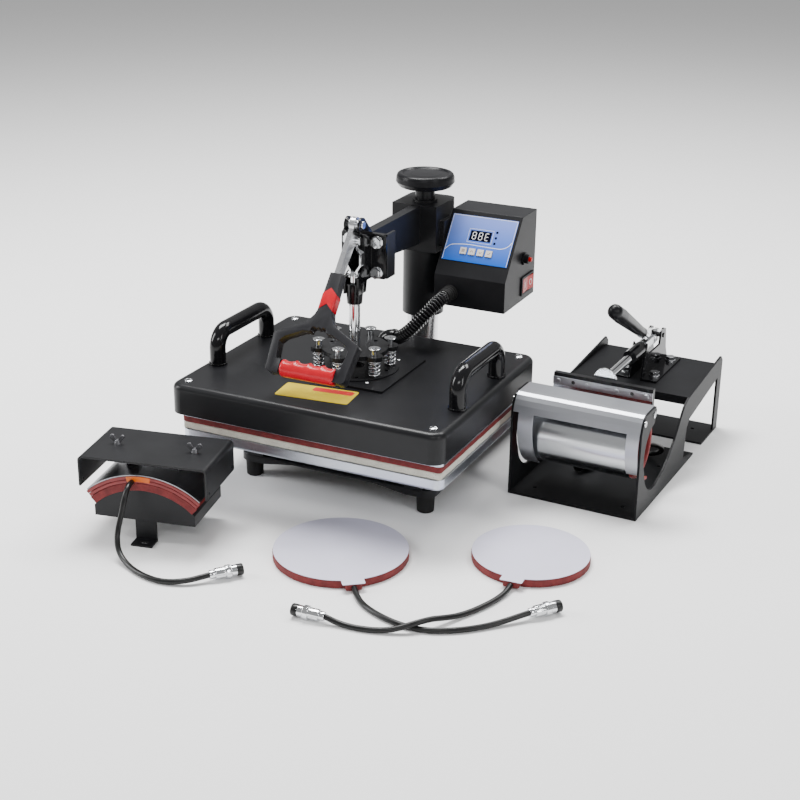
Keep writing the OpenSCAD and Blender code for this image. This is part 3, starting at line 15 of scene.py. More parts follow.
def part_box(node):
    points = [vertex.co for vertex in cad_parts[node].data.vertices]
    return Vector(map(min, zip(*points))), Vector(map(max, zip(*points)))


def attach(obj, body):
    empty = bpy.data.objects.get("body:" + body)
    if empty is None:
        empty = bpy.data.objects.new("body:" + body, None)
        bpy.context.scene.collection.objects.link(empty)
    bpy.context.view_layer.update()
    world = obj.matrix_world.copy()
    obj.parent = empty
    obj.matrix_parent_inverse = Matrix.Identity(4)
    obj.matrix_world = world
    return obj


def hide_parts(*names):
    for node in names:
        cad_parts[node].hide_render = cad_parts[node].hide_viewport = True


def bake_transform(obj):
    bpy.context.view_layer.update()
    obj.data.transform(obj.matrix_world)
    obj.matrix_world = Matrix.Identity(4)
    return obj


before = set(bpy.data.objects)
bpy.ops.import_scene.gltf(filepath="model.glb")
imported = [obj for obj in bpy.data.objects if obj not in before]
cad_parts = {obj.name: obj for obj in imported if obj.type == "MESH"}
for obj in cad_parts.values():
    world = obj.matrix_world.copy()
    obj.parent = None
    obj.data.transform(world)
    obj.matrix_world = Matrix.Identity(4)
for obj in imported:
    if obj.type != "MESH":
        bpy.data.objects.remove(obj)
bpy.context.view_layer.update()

SET_MID = np.array([76.3, 43.6, 0.0])
PRESS_X = -5.0


def metres(points):
    """(p - SET_MID) / 1000."""
    return (np.asarray(points, float) - SET_MID) / 1000.0


def turned(points, degrees, place):
    """Rotates points about +Z, then moves them to place: p' = R(degrees) p + place."""
    points = np.asarray(points, float)
    c, s = math.cos(math.radians(degrees)), math.sin(math.radians(degrees))
    turn = np.array([[c, -s, 0], [s, c, 0], [0, 0, 1]])
    return points @ turn.T + np.asarray(place, float)


def cap_place(points):
    """From the cap press's own coordinates."""
    return turned(points, 11.6, (-155.6, -254.7, 0))


def mug_place(points):
    """From the mug press's own coordinates."""
    return turned(points, -2, (207.0, 42.4, 0))


def mug_direction(direction):
    """Direction given along the mug press's own axes, in the set's."""
    return mug_place(direction) - mug_place((0, 0, 0))


# ---- Camera -------------------------------------------------------------------------------

CAMERA_AT = (867.19, -1705.7, 878.37)
CAMERA_YAW, CAMERA_PITCH, CAMERA_ROLL = 25.23, 21.8, 0.78
CAMERA_LENS = 68.12


def place_camera():
    """Columns of the camera's matrix are right, up and back, turned by yaw, pitch and roll."""
    yaw, pitch, roll = (math.radians(v) for v in (CAMERA_YAW, CAMERA_PITCH, CAMERA_ROLL))
    ahead = Vector((-math.sin(yaw) * math.cos(pitch), math.cos(yaw) * math.cos(pitch), -math.sin(pitch)))
    right = Vector((math.cos(yaw), math.sin(yaw), 0))
    up = right.cross(ahead)
    level_right = math.cos(roll) * right + math.sin(roll) * up
    level_up = -math.sin(roll) * right + math.cos(roll) * up
    data = bpy.data.cameras.new("camera")
    data.lens, data.sensor_width, data.sensor_fit = CAMERA_LENS, 36.0, "HORIZONTAL"
    data.clip_end = 20.0
    camera = bpy.data.objects.new("camera", data)
    turn = Matrix((level_right, level_up, -ahead)).transposed().to_4x4()
    camera.matrix_world = Matrix.Translation(Vector(metres(CAMERA_AT))) @ turn
    bpy.context.scene.collection.objects.link(camera)
    bpy.context.scene.camera = camera


place_camera()

# ---- Mesh making --------------------------------------------------------------------------


# Columns joined into a ring, rows not joined into a loop, both ends capped
ENDS_CLOSED = (True, False, True)


def grid_faces(rows, cols, closed=True, looped=False):
    """Quads between neighbours of a rows x cols grid; closed joins the last column to the first."""
    r = np.arange(rows if looped else rows - 1)[:, None]
    c = np.arange(cols if closed else cols - 1)[None, :]
    low, high = r * cols, ((r + 1) % rows) * cols
    side = (c + 1) % cols
    return np.stack([low + c, low + side, high + side, high + c], -1).reshape(-1, 4)


def add_piece(name, parts, material, body, flat=False):
    """One mesh from several grids, each (points, closed, looped, capped), with faces turned outwards."""
    points, faces, base = [], [], 0
    for grid, closed, looped, capped in parts:
        rows, cols = grid.shape[:2]
        points.append(grid.reshape(-1, 3))
        faces += (grid_faces(rows, cols, closed, looped) + base).tolist()
        if capped:
            faces.append(list(range(base + cols - 1, base - 1, -1)))
            faces.append(list(range(base + (rows - 1) * cols, base + rows * cols)))
        base += rows * cols
    mesh = bpy.data.meshes.new(name)
    mesh.from_pydata(metres(np.concatenate(points)), [], faces)
    work = bmesh.new()
    work.from_mesh(mesh)
    bmesh.ops.remove_doubles(work, verts=work.verts, dist=1e-6)
    bmesh.ops.recalc_face_normals(work, faces=work.faces)
    work.to_mesh(mesh)
    work.free()
    mesh.shade_flat() if flat else mesh.set_sharp_from_angle(angle=math.radians(35))
    if not flat:
        mesh.polygons.foreach_set("use_smooth", np.ones(len(mesh.polygons), bool))
    mesh.materials.append(material)
    piece = bpy.data.objects.new(name, mesh)
    bpy.context.scene.collection.objects.link(piece)
    if body:
        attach(piece, body)
    return piece


def rounded_rectangle(width, depth, corner, step):
    """Outline of straight sides and quarter circles, points about step apart, anticlockwise."""
    x, y = width / 2 - corner, depth / 2 - corner
    runs = []
    for i, (cx, cy) in enumerate([(x, y), (-x, y), (-x, -y), (x, -y)]):
        a = np.radians(np.linspace(90 * i, 90 * i + 90, 9))
        runs.append(np.stack([cx + corner * np.cos(a), cy + corner * np.sin(a)], -1))
        ahead = [(-x, y + corner), (-x - corner, -y), (x, -y - corner), (x + corner, y)][i]
        count = max(2, int(np.linalg.norm(runs[-1][-1] - ahead) / step))
        t = np.linspace(0, 1, count, endpoint=False)[1:, None]
        runs.append(runs[-1][-1] * (1 - t) + np.array(ahead) * t)
    return np.concatenate(runs)


def outward(outline):
    """Unit normals of a closed anticlockwise outline, from the chord between neighbours."""
    chord = np.roll(outline, -1, 0) - np.roll(outline, 1, 0)
    normal = np.stack([chord[:, 1], -chord[:, 0]], -1)
    return normal / np.linalg.norm(normal, axis=1, keepdims=True)


def slab(outline, low, high, edge, wobble=0.0, seed=1):
    """Outline carried up from low to high; its rim is drawn in by a quarter circle of radius edge.

    wobble moves the sides in and out by a sum of three sines of the point's number and height.
    """
    a = np.radians(np.linspace(0, 90, 5))
    inset = np.concatenate([edge * (1 - np.sin(a)), edge * (1 - np.cos(a))])
    height = np.concatenate([low + edge * (1 - np.cos(a)), high - edge + edge * np.sin(a)])
    middle = np.linspace(low + edge, high - edge, 5)[1:-1]
    inset = np.concatenate([inset[:5], 0 * middle, inset[5:]])
    height = np.concatenate([height[:5], middle, height[5:]])
    k = np.arange(len(outline))[None, :] * 2 * math.pi / len(outline)
    lift = height[:, None]
    wave = (np.sin(17 * k + seed) + np.sin(41 * k + 2 * seed + lift) + np.sin(97 * k - lift)) / 3
    move = inset[:, None] + wobble * (1 + wave) / 2
    flat = outline[None] - move[..., None] * outward(outline)[None]
    return np.concatenate([flat, np.broadcast_to(lift[..., None], flat.shape[:2] + (1,))], -1)


def lathe(profile, sides=64):
    """Profile of (radius, height) turned about +Z."""
    profile = np.asarray(profile, float)
    a = np.linspace(0, 2 * math.pi, sides, endpoint=False)
    r, z = profile[:, 0:1], profile[:, 1:2]
    return np.stack([r * np.cos(a), r * np.sin(a), z + 0 * a], -1)


def aimed(grid, place, axis):
    """Turns a shape made along +Z so that it points along axis, and moves it to place."""
    axis = np.asarray(axis, float) / np.linalg.norm(axis)
    side = np.cross([0, 0, 1.0] if abs(axis[2]) < 0.9 else [1.0, 0, 0], axis)
    side /= np.linalg.norm(side)
    return grid @ np.stack([side, np.cross(axis, side), axis]) + np.asarray(place, float)


def spline(points, per):
    """Catmull-Rom curve through the points, per steps between neighbours."""
    p = np.asarray(points, float)
    p = np.concatenate([2 * p[:1] - p[1:2], p, 2 * p[-1:] - p[-2:-1]])
    t = np.linspace(0, 1, per, endpoint=False)[None, :, None]
    a, b, c, d = (p[i:len(p) - 3 + i, None] for i in range(4))
    square, cube = 2 * a - 5 * b + 4 * c - d, 3 * b - a - 3 * c + d
    curve = 0.5 * (2 * b + (c - a) * t + square * t ** 2 + cube * t ** 3)
    return np.concatenate([curve.reshape(-1, p.shape[1]), p[-2:-1]])


def tube(path, radius, sides=16):
    """Circle of radius (one number, or one per point) carried along the path without twist."""
    way = np.gradient(path, axis=0)
    way /= np.linalg.norm(way, axis=1, keepdims=True)
    normal = np.cross(way[0], [0, 0, 1.0] if abs(way[0][2]) < 0.9 else [1.0, 0, 0])
    normals = []
    for direction in way:
        normal = normal - (normal @ direction) * direction
        normal = normal / np.linalg.norm(normal)
        normals.append(normal)
    normals = np.array(normals)
    a = np.linspace(0, 2 * math.pi, sides, endpoint=False)[None, :, None]
    r = np.broadcast_to(np.asarray(radius, float), (len(path),))[:, None, None]
    return path[:, None] + r * (np.cos(a) * normals[:, None] + np.sin(a) * np.cross(way, normals)[:, None])


def section_along_arc(radius, thick, width, start, stop, steps, corner=1.2, wobble=0.0):
    """Rounded section thick x width carried round +Y's axis: points (r sin a, y, r cos a)."""
    section = rounded_rectangle(thick, width, corner, 4.0)
    a = np.radians(np.linspace(start, stop, steps))[:, None]
    k = np.arange(len(section))[None]
    r = radius + thick / 2 + section[None, :, 0] - wobble * (1 + np.sin(31 * a + 0.7 * k)) / 2
    return np.stack([r * np.sin(a), section[None, :, 1] + 0 * a, r * np.cos(a)], -1)


# ---- Finishes -----------------------------------------------------------------------------


def shade(tree, kind, **values):
    """Adds a shader node; a value whose name is a socket's sets or links that socket."""
    made = tree.nodes.new("ShaderNode" + kind)
    for key, value in values.items():
        key = key.replace("_", " ") if key.replace("_", " ") in made.inputs else key
        if key in made.inputs:
            if isinstance(value, bpy.types.NodeSocket):
                tree.links.new(value, made.inputs[key])
            else:
                made.inputs[key].default_value = value
        else:
            setattr(made, key, value)
    return made


def arithmetic(tree, operation, first, second=0.0):
    """Result of one operation on two numbers or sockets."""
    made = tree.nodes.new("ShaderNodeMath")
    made.operation = operation
    for socket, value in zip(made.inputs, (first, second)):
        if isinstance(value, bpy.types.NodeSocket):
            tree.links.new(value, socket)
        else:
            socket.default_value = value
    return made.outputs[0]


def along(tree, place, direction, origin=(0, 0, 0)):
    """Distance of a surface point from origin along a direction, in metres."""
    moved = shade(tree, "VectorMath", operation="SUBTRACT")
    tree.links.new(place, moved.inputs[0])
    moved.inputs[1].default_value = origin
    dot = shade(tree, "VectorMath", operation="DOT_PRODUCT")
    tree.links.new(moved.outputs[0], dot.inputs[0])
    dot.inputs[1].default_value = direction
    return dot.outputs["Value"]


def within(tree, value, low, high):
    """One where low < value < high, otherwise zero."""
    above = arithmetic(tree, "GREATER_THAN", value, low)
    return arithmetic(tree, "MULTIPLY", above, arithmetic(tree, "LESS_THAN", value, high))


def mixed(tree, factor, first, second):
    """Colour mix of two colours, or of two sockets."""
    mix = tree.nodes.new("ShaderNodeMix")
    mix.data_type = "RGBA"
    for socket, value in ((mix.inputs[0], factor), (mix.inputs[6], first), (mix.inputs[7], second)):
        if isinstance(value, bpy.types.NodeSocket):
            tree.links.new(value, socket)
        else:
            socket.default_value = value if isinstance(value, float) else (*value, 1.0)
    return mix.outputs[2]


def finish(name, dark, light, rough, metal=0.0, blotch=25.0, fine=900.0, bump=0.15, depth=0.00008,
           stretch=(1, 1, 1), edge=0.0, spread=0.06, specks=None, zones=(), shine=0.5):
    """Surface finish: a blotchy colour between dark and light, uneven roughness and a fine bump.

    stretch scales the pattern per axis, edge rounds the shading of hard edges, specks are
    (scale, size, colour) spots, and zones are (mask maker, colour, metal, rough) places that
    take another finish. shine is the level of the clear reflection.
    """
    material = bpy.data.materials.new(name)
    material.use_nodes = True
    tree = material.node_tree
    surface = tree.nodes["Principled BSDF"]
    place = shade(tree, "TexCoord").outputs["Object"]
    spot = shade(tree, "Mapping", Scale=stretch, Vector=place).outputs[0]
    cloud = shade(tree, "TexNoise", Vector=spot, Scale=blotch, Detail=6.0, Roughness=0.6).outputs["Fac"]
    grain = shade(tree, "TexNoise", Vector=spot, Scale=fine, Detail=3.0, Roughness=0.65).outputs["Fac"]
    even = shade(tree, "MapRange", Value=cloud, From_Min=0.3, From_Max=0.7).outputs[0]
    colour = mixed(tree, even, dark, light)
    if specks:
        scale, size, tint = specks
        cells = shade(tree, "TexVoronoi", Vector=spot, Scale=scale).outputs["Distance"]
        colour = mixed(tree, arithmetic(tree, "LESS_THAN", cells, size), colour, tint)
    rough_here = shade(tree, "MapRange", Value=grain, To_Min=rough - spread, To_Max=rough + spread).outputs[0]
    metal_here = metal
    for mask_maker, tint, zone_metal, zone_rough in zones:
        mask = mask_maker(tree, place)
        colour = mixed(tree, mask, colour, tint)
        keep = arithmetic(tree, "SUBTRACT", 1.0, mask)
        rough_here = arithmetic(tree, "ADD", arithmetic(tree, "MULTIPLY", rough_here, keep),
                                arithmetic(tree, "MULTIPLY", mask, zone_rough))
        if isinstance(metal_here, float) and metal_here == zone_metal:
            continue
        metal_here = arithmetic(tree, "ADD", arithmetic(tree, "MULTIPLY", metal_here, keep),
                                arithmetic(tree, "MULTIPLY", mask, zone_metal))
    tree.links.new(colour, surface.inputs["Base Color"])
    tree.links.new(rough_here, surface.inputs["Roughness"])
    if isinstance(metal_here, bpy.types.NodeSocket):
        tree.links.new(metal_here, surface.inputs["Metallic"])
    else:
        surface.inputs["Metallic"].default_value = metal_here
    surface.inputs["Specular IOR Level"].default_value = shine
    relief = shade(tree, "Bump", Height=grain, Strength=bump, Distance=depth)
    if edge:
        rounded = shade(tree, "Bevel", samples=4, Radius=edge)
        tree.links.new(rounded.outputs[0], relief.inputs["Normal"])
    tree.links.new(relief.outputs[0], surface.inputs["Normal"])
    return material


def dress(material, *names):
    """Gives CAD nodes a finish."""
    for name in names:
        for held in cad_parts[name].material_slots:
            held.material = material


powder = finish("black_powder_coat", (0.0055, 0.0057, 0.0068), (0.011, 0.0112, 0.0128), 0.40,
                blotch=14, fine=1400, bump=0.28, depth=0.00006, edge=0.0008, shine=0.25)
cover_coat = finish("cover_powder_coat", (0.0045, 0.0047, 0.0056), (0.009, 0.0092, 0.0106), 0.34,
                    blotch=9, fine=1500, bump=0.3, depth=0.00006, shine=0.25)
box_coat = finish("box_powder_coat", (0.007, 0.0072, 0.0086), (0.013, 0.0132, 0.0148), 0.42,
                  blotch=16, fine=1500, bump=0.35, depth=0.00007, edge=0.0013, shine=0.16)
sheet_black = finish("sheet_black", (0.004, 0.0042, 0.005), (0.0085, 0.0087, 0.010), 0.44,
                     blotch=12, fine=1300, bump=0.22, depth=0.00005, edge=0.0006, shine=0.12)
gloss_paint = finish("gloss_black_paint", (0.003, 0.003, 0.0036), (0.006, 0.006, 0.007), 0.13,
                     blotch=20, fine=350, bump=0.06, depth=0.00008, edge=0.0007, spread=0.03, shine=0.28)
rubber_foot = finish("foot_rubber", (0.006, 0.006, 0.006), (0.014, 0.014, 0.014), 0.7, bump=0.3, edge=0.0006,
                     shine=0.25)
handle_plastic = finish("handle_plastic", (0.0085, 0.0085, 0.0105), (0.017, 0.017, 0.0195), 0.38,
                        blotch=30, fine=1800, bump=0.25, depth=0.00005, shine=0.3)
knob_plastic = finish("knob_plastic", (0.004, 0.004, 0.005), (0.008, 0.008, 0.0095), 0.30,
                      blotch=25, fine=1100, bump=0.2, edge=0.0008, shine=0.18)
grip_red = finish("grip_red", (0.42, 0.003, 0.012), (0.54, 0.007, 0.020), 0.28, blotch=35, fine=700,
                  bump=0.08, spread=0.04, shine=0.28)
switch_red = finish("switch_red", (0.42, 0.003, 0.004), (0.54, 0.007, 0.008), 0.28, blotch=35, fine=700,
                    bump=0.05, spread=0.04, shine=0.25, edge=0.0006)
chrome = finish("chrome", (0.66, 0.67, 0.69), (0.76, 0.77, 0.78), 0.09, metal=1.0, blotch=18, fine=260,
                bump=0.03, edge=0.0004, spread=0.04)
zinc = finish("zinc_plate", (0.60, 0.61, 0.63), (0.74, 0.75, 0.77), 0.26, metal=1.0, blotch=55, fine=900,
              bump=0.12, edge=0.0004, spread=0.07)
post_steel = finish("post_steel", (0.62, 0.62, 0.63), (0.74, 0.74, 0.75), 0.22, metal=1.0, blotch=12,
                    fine=300, stretch=(3, 3, 0.06), bump=0.06, spread=0.08)
platen_metal = finish("platen_aluminium", (0.47, 0.50, 0.56), (0.58, 0.61, 0.67), 0.30, metal=1.0, blotch=10,
                      fine=700, bump=0.15, spread=0.08, edge=0.0009)
hood_silver = finish("hood_silver", (0.36, 0.37, 0.40), (0.44, 0.45, 0.48), 0.34, metal=0.85, blotch=9,
                     fine=1300, bump=0.12, edge=0.0006)
drum_steel = finish("drum_steel", (0.58, 0.60, 0.62), (0.72, 0.74, 0.76), 0.22, metal=1.0, blotch=20,
                    fine=240, stretch=(0.03, 1.6, 1.6), bump=0.08, spread=0.10)
felt = finish("cotton_felt", (0.50, 0.48, 0.41), (0.66, 0.64, 0.56), 0.92, blotch=60, fine=650, bump=0.9,
              depth=0.0009, specks=(420, 0.16, (0.25, 0.22, 0.15)))
red_silicone = finish("red_silicone", (0.105, 0.012, 0.013), (0.20, 0.026, 0.026), 0.68, blotch=110, fine=520,
                      bump=0.6, depth=0.0005, specks=(560, 0.17, (0.07, 0.014, 0.013)), shine=0.3)
heater_red = finish("heater_red", (0.15, 0.014, 0.015), (0.24, 0.028, 0.028), 0.58, blotch=70, fine=600,
                    bump=0.5, depth=0.0003)
orange_film = finish("orange_film", (0.52, 0.09, 0.008), (0.66, 0.14, 0.012), 0.25, blotch=50, fine=300,
                     bump=0.1, shine=0.3)
white_coat = finish("white_coat", (0.58, 0.57, 0.69), (0.65, 0.64, 0.77), 0.34, blotch=7, fine=900, bump=0.05)
cord_sheath = finish("cord_sheath", (0.005, 0.005, 0.005), (0.011, 0.011, 0.011), 0.32, blotch=80, fine=500,
                     bump=0.1, shine=0.3)
hose_plastic = finish("hose_plastic", (0.004, 0.004, 0.0045), (0.008, 0.008, 0.009), 0.24, blotch=60, fine=400,
                      bump=0.05, shine=0.4)
key_white = finish("key_white", (0.62, 0.58, 0.54), (0.72, 0.68, 0.64), 0.4, blotch=90, bump=0.1, edge=0.0005)
mark_dark = finish("mark_dark", (0.16, 0.07, 0.05), (0.22, 0.10, 0.07), 0.5, blotch=90)
mark_white = finish("mark_white", (0.78, 0.79, 0.80), (0.88, 0.89, 0.9), 0.4, blotch=60, bump=0.03)
hanger_steel = finish("hanger_steel", (0.20, 0.20, 0.21), (0.30, 0.30, 0.32), 0.36, metal=1.0, blotch=30,
                      fine=420, stretch=(1.5, 0.05, 1.5), bump=0.03, edge=0.0004, spread=0.05)
plate_yellow = finish("plate_yellow", (0.50, 0.37, 0.012), (0.60, 0.46, 0.025), 0.4, blotch=30, bump=0.05,
                      shine=0.2)
plate_red = finish("plate_red", (0.46, 0.012, 0.01), (0.55, 0.02, 0.015), 0.35, blotch=30, bump=0.05)


def mug_zone(direction, low, high, middle=0.0):
    """Mask of the surface whose mug press coordinate along direction lies low..high from middle, in mm."""
    def mask(tree, place):
        off = along(tree, place, tuple(mug_direction(direction)), tuple(metres(mug_place((0, 0, 0)))))
        if middle:
            off = arithmetic(tree, "ABSOLUTE", arithmetic(tree, "SUBTRACT", off, middle / 1000))
        return within(tree, off, low / 1000, high / 1000)
    return mask


def bolt_heads(tree, place):
    """Mask of the heads of the mug press's four bolts, by height and by distance from its middle."""
    high, across = mug_zone((0, 0, 1), 106.1, 113), mug_zone((1, 0, 0), 13, 31, 91)
    return arithmetic(tree, "MULTIPLY", high(tree, place), across(tree, place))


clamp_black = finish("clamp_bar_black", (0.005, 0.0052, 0.006), (0.0105, 0.0107, 0.012), 0.34, blotch=12,
                     fine=1300, bump=0.22, edge=0.0006, shine=0.25,
                     zones=[(mug_zone((0, 1, 0), 0, 97.95), (0.40, 0.41, 0.44), 0.9, 0.36)])
toggle_paint = finish("mug_toggle_paint", (0.003, 0.003, 0.0036), (0.006, 0.006, 0.007), 0.13, blotch=20,
                      fine=350, bump=0.06, edge=0.0007, spread=0.03, shine=0.28,
                      zones=[(bolt_heads, (0.80, 0.81, 0.83), 1.0, 0.14)])

dress(powder, "base_frame", "platen_stand", "swing_arm", "cap_bracket", "cap_form")
dress(cover_coat, "cover_shell", "spring_carrier", "pressure_plate")
dress(box_coat, "control_box", "control_box_back")
dress(sheet_black, "mug_frame", "switch_bezels")
dress(gloss_paint, "grab_handles", "toggle_frame", "hose_elbow")
dress(toggle_paint, "mug_toggle_frame")
dress(clamp_black, "mug_clamp_bar")
dress(hanger_steel, "cap_hanger")
dress(rubber_foot, "rubber_feet", "hose_gland")
dress(knob_plastic, "pressure_knob", "mug_grip")
dress(chrome, "spring_bolts", "toggle_bolts", "plunger_rod", "mug_plunger", "cord_connectors", "toggle_link",
      "mug_lever")
dress(zinc, "thrust_washer", "toggle_lever", "mug_link")
dress(post_steel, "column_post")
dress(platen_metal, "lower_platen", "heating_plate")
dress(hood_silver, "mug_hood")
dress(drum_steel, "mug_jacket")
dress(switch_red, "rocker", "reset_button")
dress(key_white, "panel_button_1", "panel_button_2", "panel_button_3", "panel_button_4")

# ---- Cords and their connectors -----------------------------------------------------------

CORD_D = 7.0
cap_route = [
    [-158.5, -305.8, 82.5], [-157, -313, 82.3], [-155.2, -321, 79.5], [-154, -327.5, 73.5],
    [-154.2, -331.5, 65], [-155, -334.5, 55], [-156, -338, 45], [-156.5, -342, 35],
    [-155, -347, 25.5], [-150.5, -353, 17], [-143, -359, 10.5], [-132.5, -365, 6.2],
    [-120, -371, 4], [-106, -377, 3.6], [-91, -381.5, 3.6], [-76, -383.5, 3.6],
    [-61.5, -382, 4], [-48, -377, 5], [-36, -369.5, 6.4], [-26.5, -360, 7.8], [-20, -352.5, 8.6]]
large_route = [
    [146.5, -297, 6], [152, -304.2, 5.4], [159, -312, 4.4], [168, -320.5, 3.6],
    [180, -329, 3.6], [194, -336, 3.6], [209, -341.5, 3.6], [225, -345.5, 3.6],
    [241, -347, 3.6], [257, -345.5, 3.6], [272, -341, 3.6], [286, -333.5, 3.6],
    [299, -324.5, 3.6], [311, -314, 3.6], [322, -303, 4], [332, -292, 5], [341, -281.5, 6.4],
    [349, -272, 7.8], [355, -264.5, 8.6]]
small_route = [
    [310, -208, 6], [310.4, -217, 5.2], [309.5, -228, 4.2], [307, -240, 3.6],
    [303.5, -253, 3.6], [298.5, -266.5, 3.6], [292.5, -280, 3.6], [285.5, -293.5, 4],
    [278.5, -306, 5.5], [271, -318.5, 8.2], [263.5, -330, 10.8], [256, -340.5, 11.4],
    [247.5, -350, 10.4], [237.5, -358, 7.6], [226, -364.5, 5], [212.5, -370, 3.8],
    [197.5, -374, 3.6], [182, -376, 3.6], [166.5, -376.8, 5], [151, -377.2, 8.6]]
mug_route = mug_place([
    [150, 97.3, 63], [150.3, 106, 61.2], [151.2, 116, 58.6], [152.6, 129, 54.6], [154.2, 143, 49.4],
    [155.6, 157, 43], [156, 171, 35.6], [154.6, 184, 27.4], [150.6, 195, 19.2],
    [143.4, 202, 12.2], [133.6, 204.2, 7.9], [123, 201, 6.7], [113.4, 194, 6.6],
    [105.4, 184, 6.6], [98.4, 172.6, 6.9], [91.8, 160.6, 8], [85.4, 148.6, 9.8], [79.6, 138, 11.6]])


def connector(name, route):
    """Turned metal plug on a cord's end: rings of (radius, length), with a knurled middle collar."""
    tip, way = np.array(route[-1], float), np.array(route[-1], float) - np.array(route[-2], float)
    way[2] = 0
    body = [(3.6, 0), (5.2, 0.3), (5.5, 1), (5.5, 6), (5.2, 7), (6.6, 7.4), (7, 8), (7, 19), (6.7, 20),
            (8.0, 20.3), (8.5, 21), (8.5, 26), (8.2, 27), (7.0, 27.4), (7.0, 34)]
    mouth = [(7.0, 34.2), (7.25, 34.8), (7.25, 41), (6.9, 42), (5.9, 42), (5.8, 41.6), (5.8, 34), (0.4, 33.9)]
    metal = lathe(body, 72)
    knurl = np.abs(np.sin(np.arange(72) * math.pi / 4))[None, :, None]
    metal[6:8, :, :2] *= 1 - 0.06 * knurl[0]
    metal[11:13, :, :2] *= 1 - 0.06 * knurl[0]
    shell = add_piece(name + "_plug", [(aimed(metal, tip, way), *ENDS_CLOSED)], chrome, "base")
    cup = add_piece(name + "_plug_tip", [(aimed(lathe(mouth, 48), tip, way), *ENDS_CLOSED)],
                    cord_sheath, "base")
    return [shell, cup]


def free_cord(name, node, route):
    """Cord sheath along the route, with its plug at the far end."""
    path = spline(route, 6)
    piece = add_piece(name, [(tube(path, CORD_D / 2), *ENDS_CLOSED)], cord_sheath, "base")
    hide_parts(node)
    plug = connector(name, route)
    return plug


plugs = []
for cord_name, cord_node, cord_route in (
        ("cap_cord_sheath", "cap_cord", cap_route), ("mug_cord_sheath", "mug_cord", mug_route),
        ("large_cord_sheath", "large_plate_cord", large_route),
        ("small_cord_sheath", "small_plate_cord", small_route)):
    plugs += free_cord(cord_name, cord_node, cord_route)
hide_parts("cord_connectors")

# ---- Pads and heaters ---------------------------------------------------------------------


def platen_pad(name, node, width, depth, edge, wobble, seed, material):
    """Pad on the lower platen, as high as its solid, with an uneven side."""
    low, high = (corner[2] * 1000 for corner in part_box(node))
    sheet = slab(rounded_rectangle(width, depth, 5, 5.0), low, high, edge, wobble, seed)
    return add_piece(name, [(sheet, *ENDS_CLOSED)], material, "base")


cotton = platen_pad("cotton_sheet", "cotton_pad", 377.5, 289.5, 1.6, 1.4, 1, felt)
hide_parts("cotton_pad")
silicone = platen_pad("silicone_sheet", "silicone_pad", 378, 290, 1.2, 0.7, 3, red_silicone)
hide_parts("silicone_pad")

CAP_ARC_Z = -25.0


def cap_layer(name, radius, thick, width, middle_y, span, material, body):
    """Curved pad over the cap form, carried round the form's axis."""
    grid = section_along_arc(radius, thick, width, -span, span, 90, 1.0, 0.25)
    grid = cap_place(grid + np.array([0, middle_y, CAP_ARC_Z]))
    return add_piece(name, [(grid, *ENDS_CLOSED)], material, body)


form_pad = cap_layer("cap_form_pad", 96.1, 10.3, 92.3, -2.0, 41.8, red_silicone, "base")
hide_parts("cap_pad")
inner_heater = cap_layer("cap_heater_inner", 106.8, 4.2, 91.6, -3.2, 40.9, heater_red, "cap_upper")
cap_layer("cap_heater_outer", 111.5, 4.2, 92.2, -3.0, 40.9, heater_red, "cap_upper")
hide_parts("cap_heater")
film = section_along_arc(108.6, 6.8, 93.2, -10.5, 5.5, 30, 0.4)
film = add_piece("cap_heater_film", [(cap_place(film + np.array([0, -3.0, CAP_ARC_Z])), *ENDS_CLOSED)],
                 orange_film, "cap_upper")

MUG_AXIS = np.array([0, 55.0, 82.0])
DISC_T = 10.2


def mug_ring(name, inner, outer, low_x, high_x, start, stop, material):
    """Open band round the mug drum's axis: section (outer - inner) x length carried from start to stop."""
    length = high_x - low_x
    section = rounded_rectangle(outer - inner, length, min(1.0, (outer - inner) / 2.4), 6.0)
    a = np.radians(np.linspace(start, stop, 120))[:, None]
    r = (outer + inner) / 2 + section[None, :, 0]
    grid = np.stack([(low_x + high_x) / 2 + section[None, :, 1] + 0 * a, r * np.cos(a), r * np.sin(a)], -1)
    return add_piece(name, [(mug_place(grid + MUG_AXIS), *ENDS_CLOSED)], material, "base")


mug_band = mug_ring("mug_heater_band", 38.9, 43.0, 17.0, 165.0, 92.2, 407.8, heater_red)
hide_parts("mug_heater")
mug_ring("mug_heater_lining", 38.5, 38.9, 18.0, 164.0, 92.6, 407.4, heater_red)
mug_ring("mug_heater_end_film", 38.7, 39.6, 163.5, 175.0, 206, 262, orange_film)
mug_ring("mug_heater_end_rim", 38.9, 43.0, 174.5, 176.5, 198, 266, heater_red)


def plate_heater(name, node, centre, radius, turn):
    """Silicone disc with a rounded, uneven side, and a thin white plate with a square tab on it."""
    a = np.linspace(0, 2 * math.pi, 240, endpoint=False)
    outline = radius * np.stack([np.cos(a), np.sin(a)], -1)
    body = turned(slab(outline, 0, DISC_T, 1.4, 0.6, 2), turn, (*centre, 0))
    silicone_disc = add_piece(name + "_silicone", [(body, *ENDS_CLOSED)], red_silicone, "base")
    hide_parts(node)
    half = math.degrees(math.asin(14.0 / radius))
    rim = np.radians(np.linspace(half, 360 - half, 220))
    plate_r = radius - 0.75
    plate = np.concatenate([
        plate_r * np.stack([np.cos(rim), np.sin(rim)], -1),
        [[radius + 8.6, -14], [radius + 10, -12.6], [radius + 10, 12.6], [radius + 8.6, 14]]])
    top = turned(slab(plate, DISC_T, 11.0, 0.25), turn, (*centre, 0))
    add_piece(name + "_plate", [(top, *ENDS_CLOSED)], white_coat, "base")
    foot = slab(rounded_rectangle(13, 20, 2, 3), 2.4, DISC_T, 0.8) + np.array([radius + 3.4, 0, 0])
    add_piece(name + "_outlet", [(turned(foot, turn, (*centre, 0)), *ENDS_CLOSED)], red_silicone, "base")


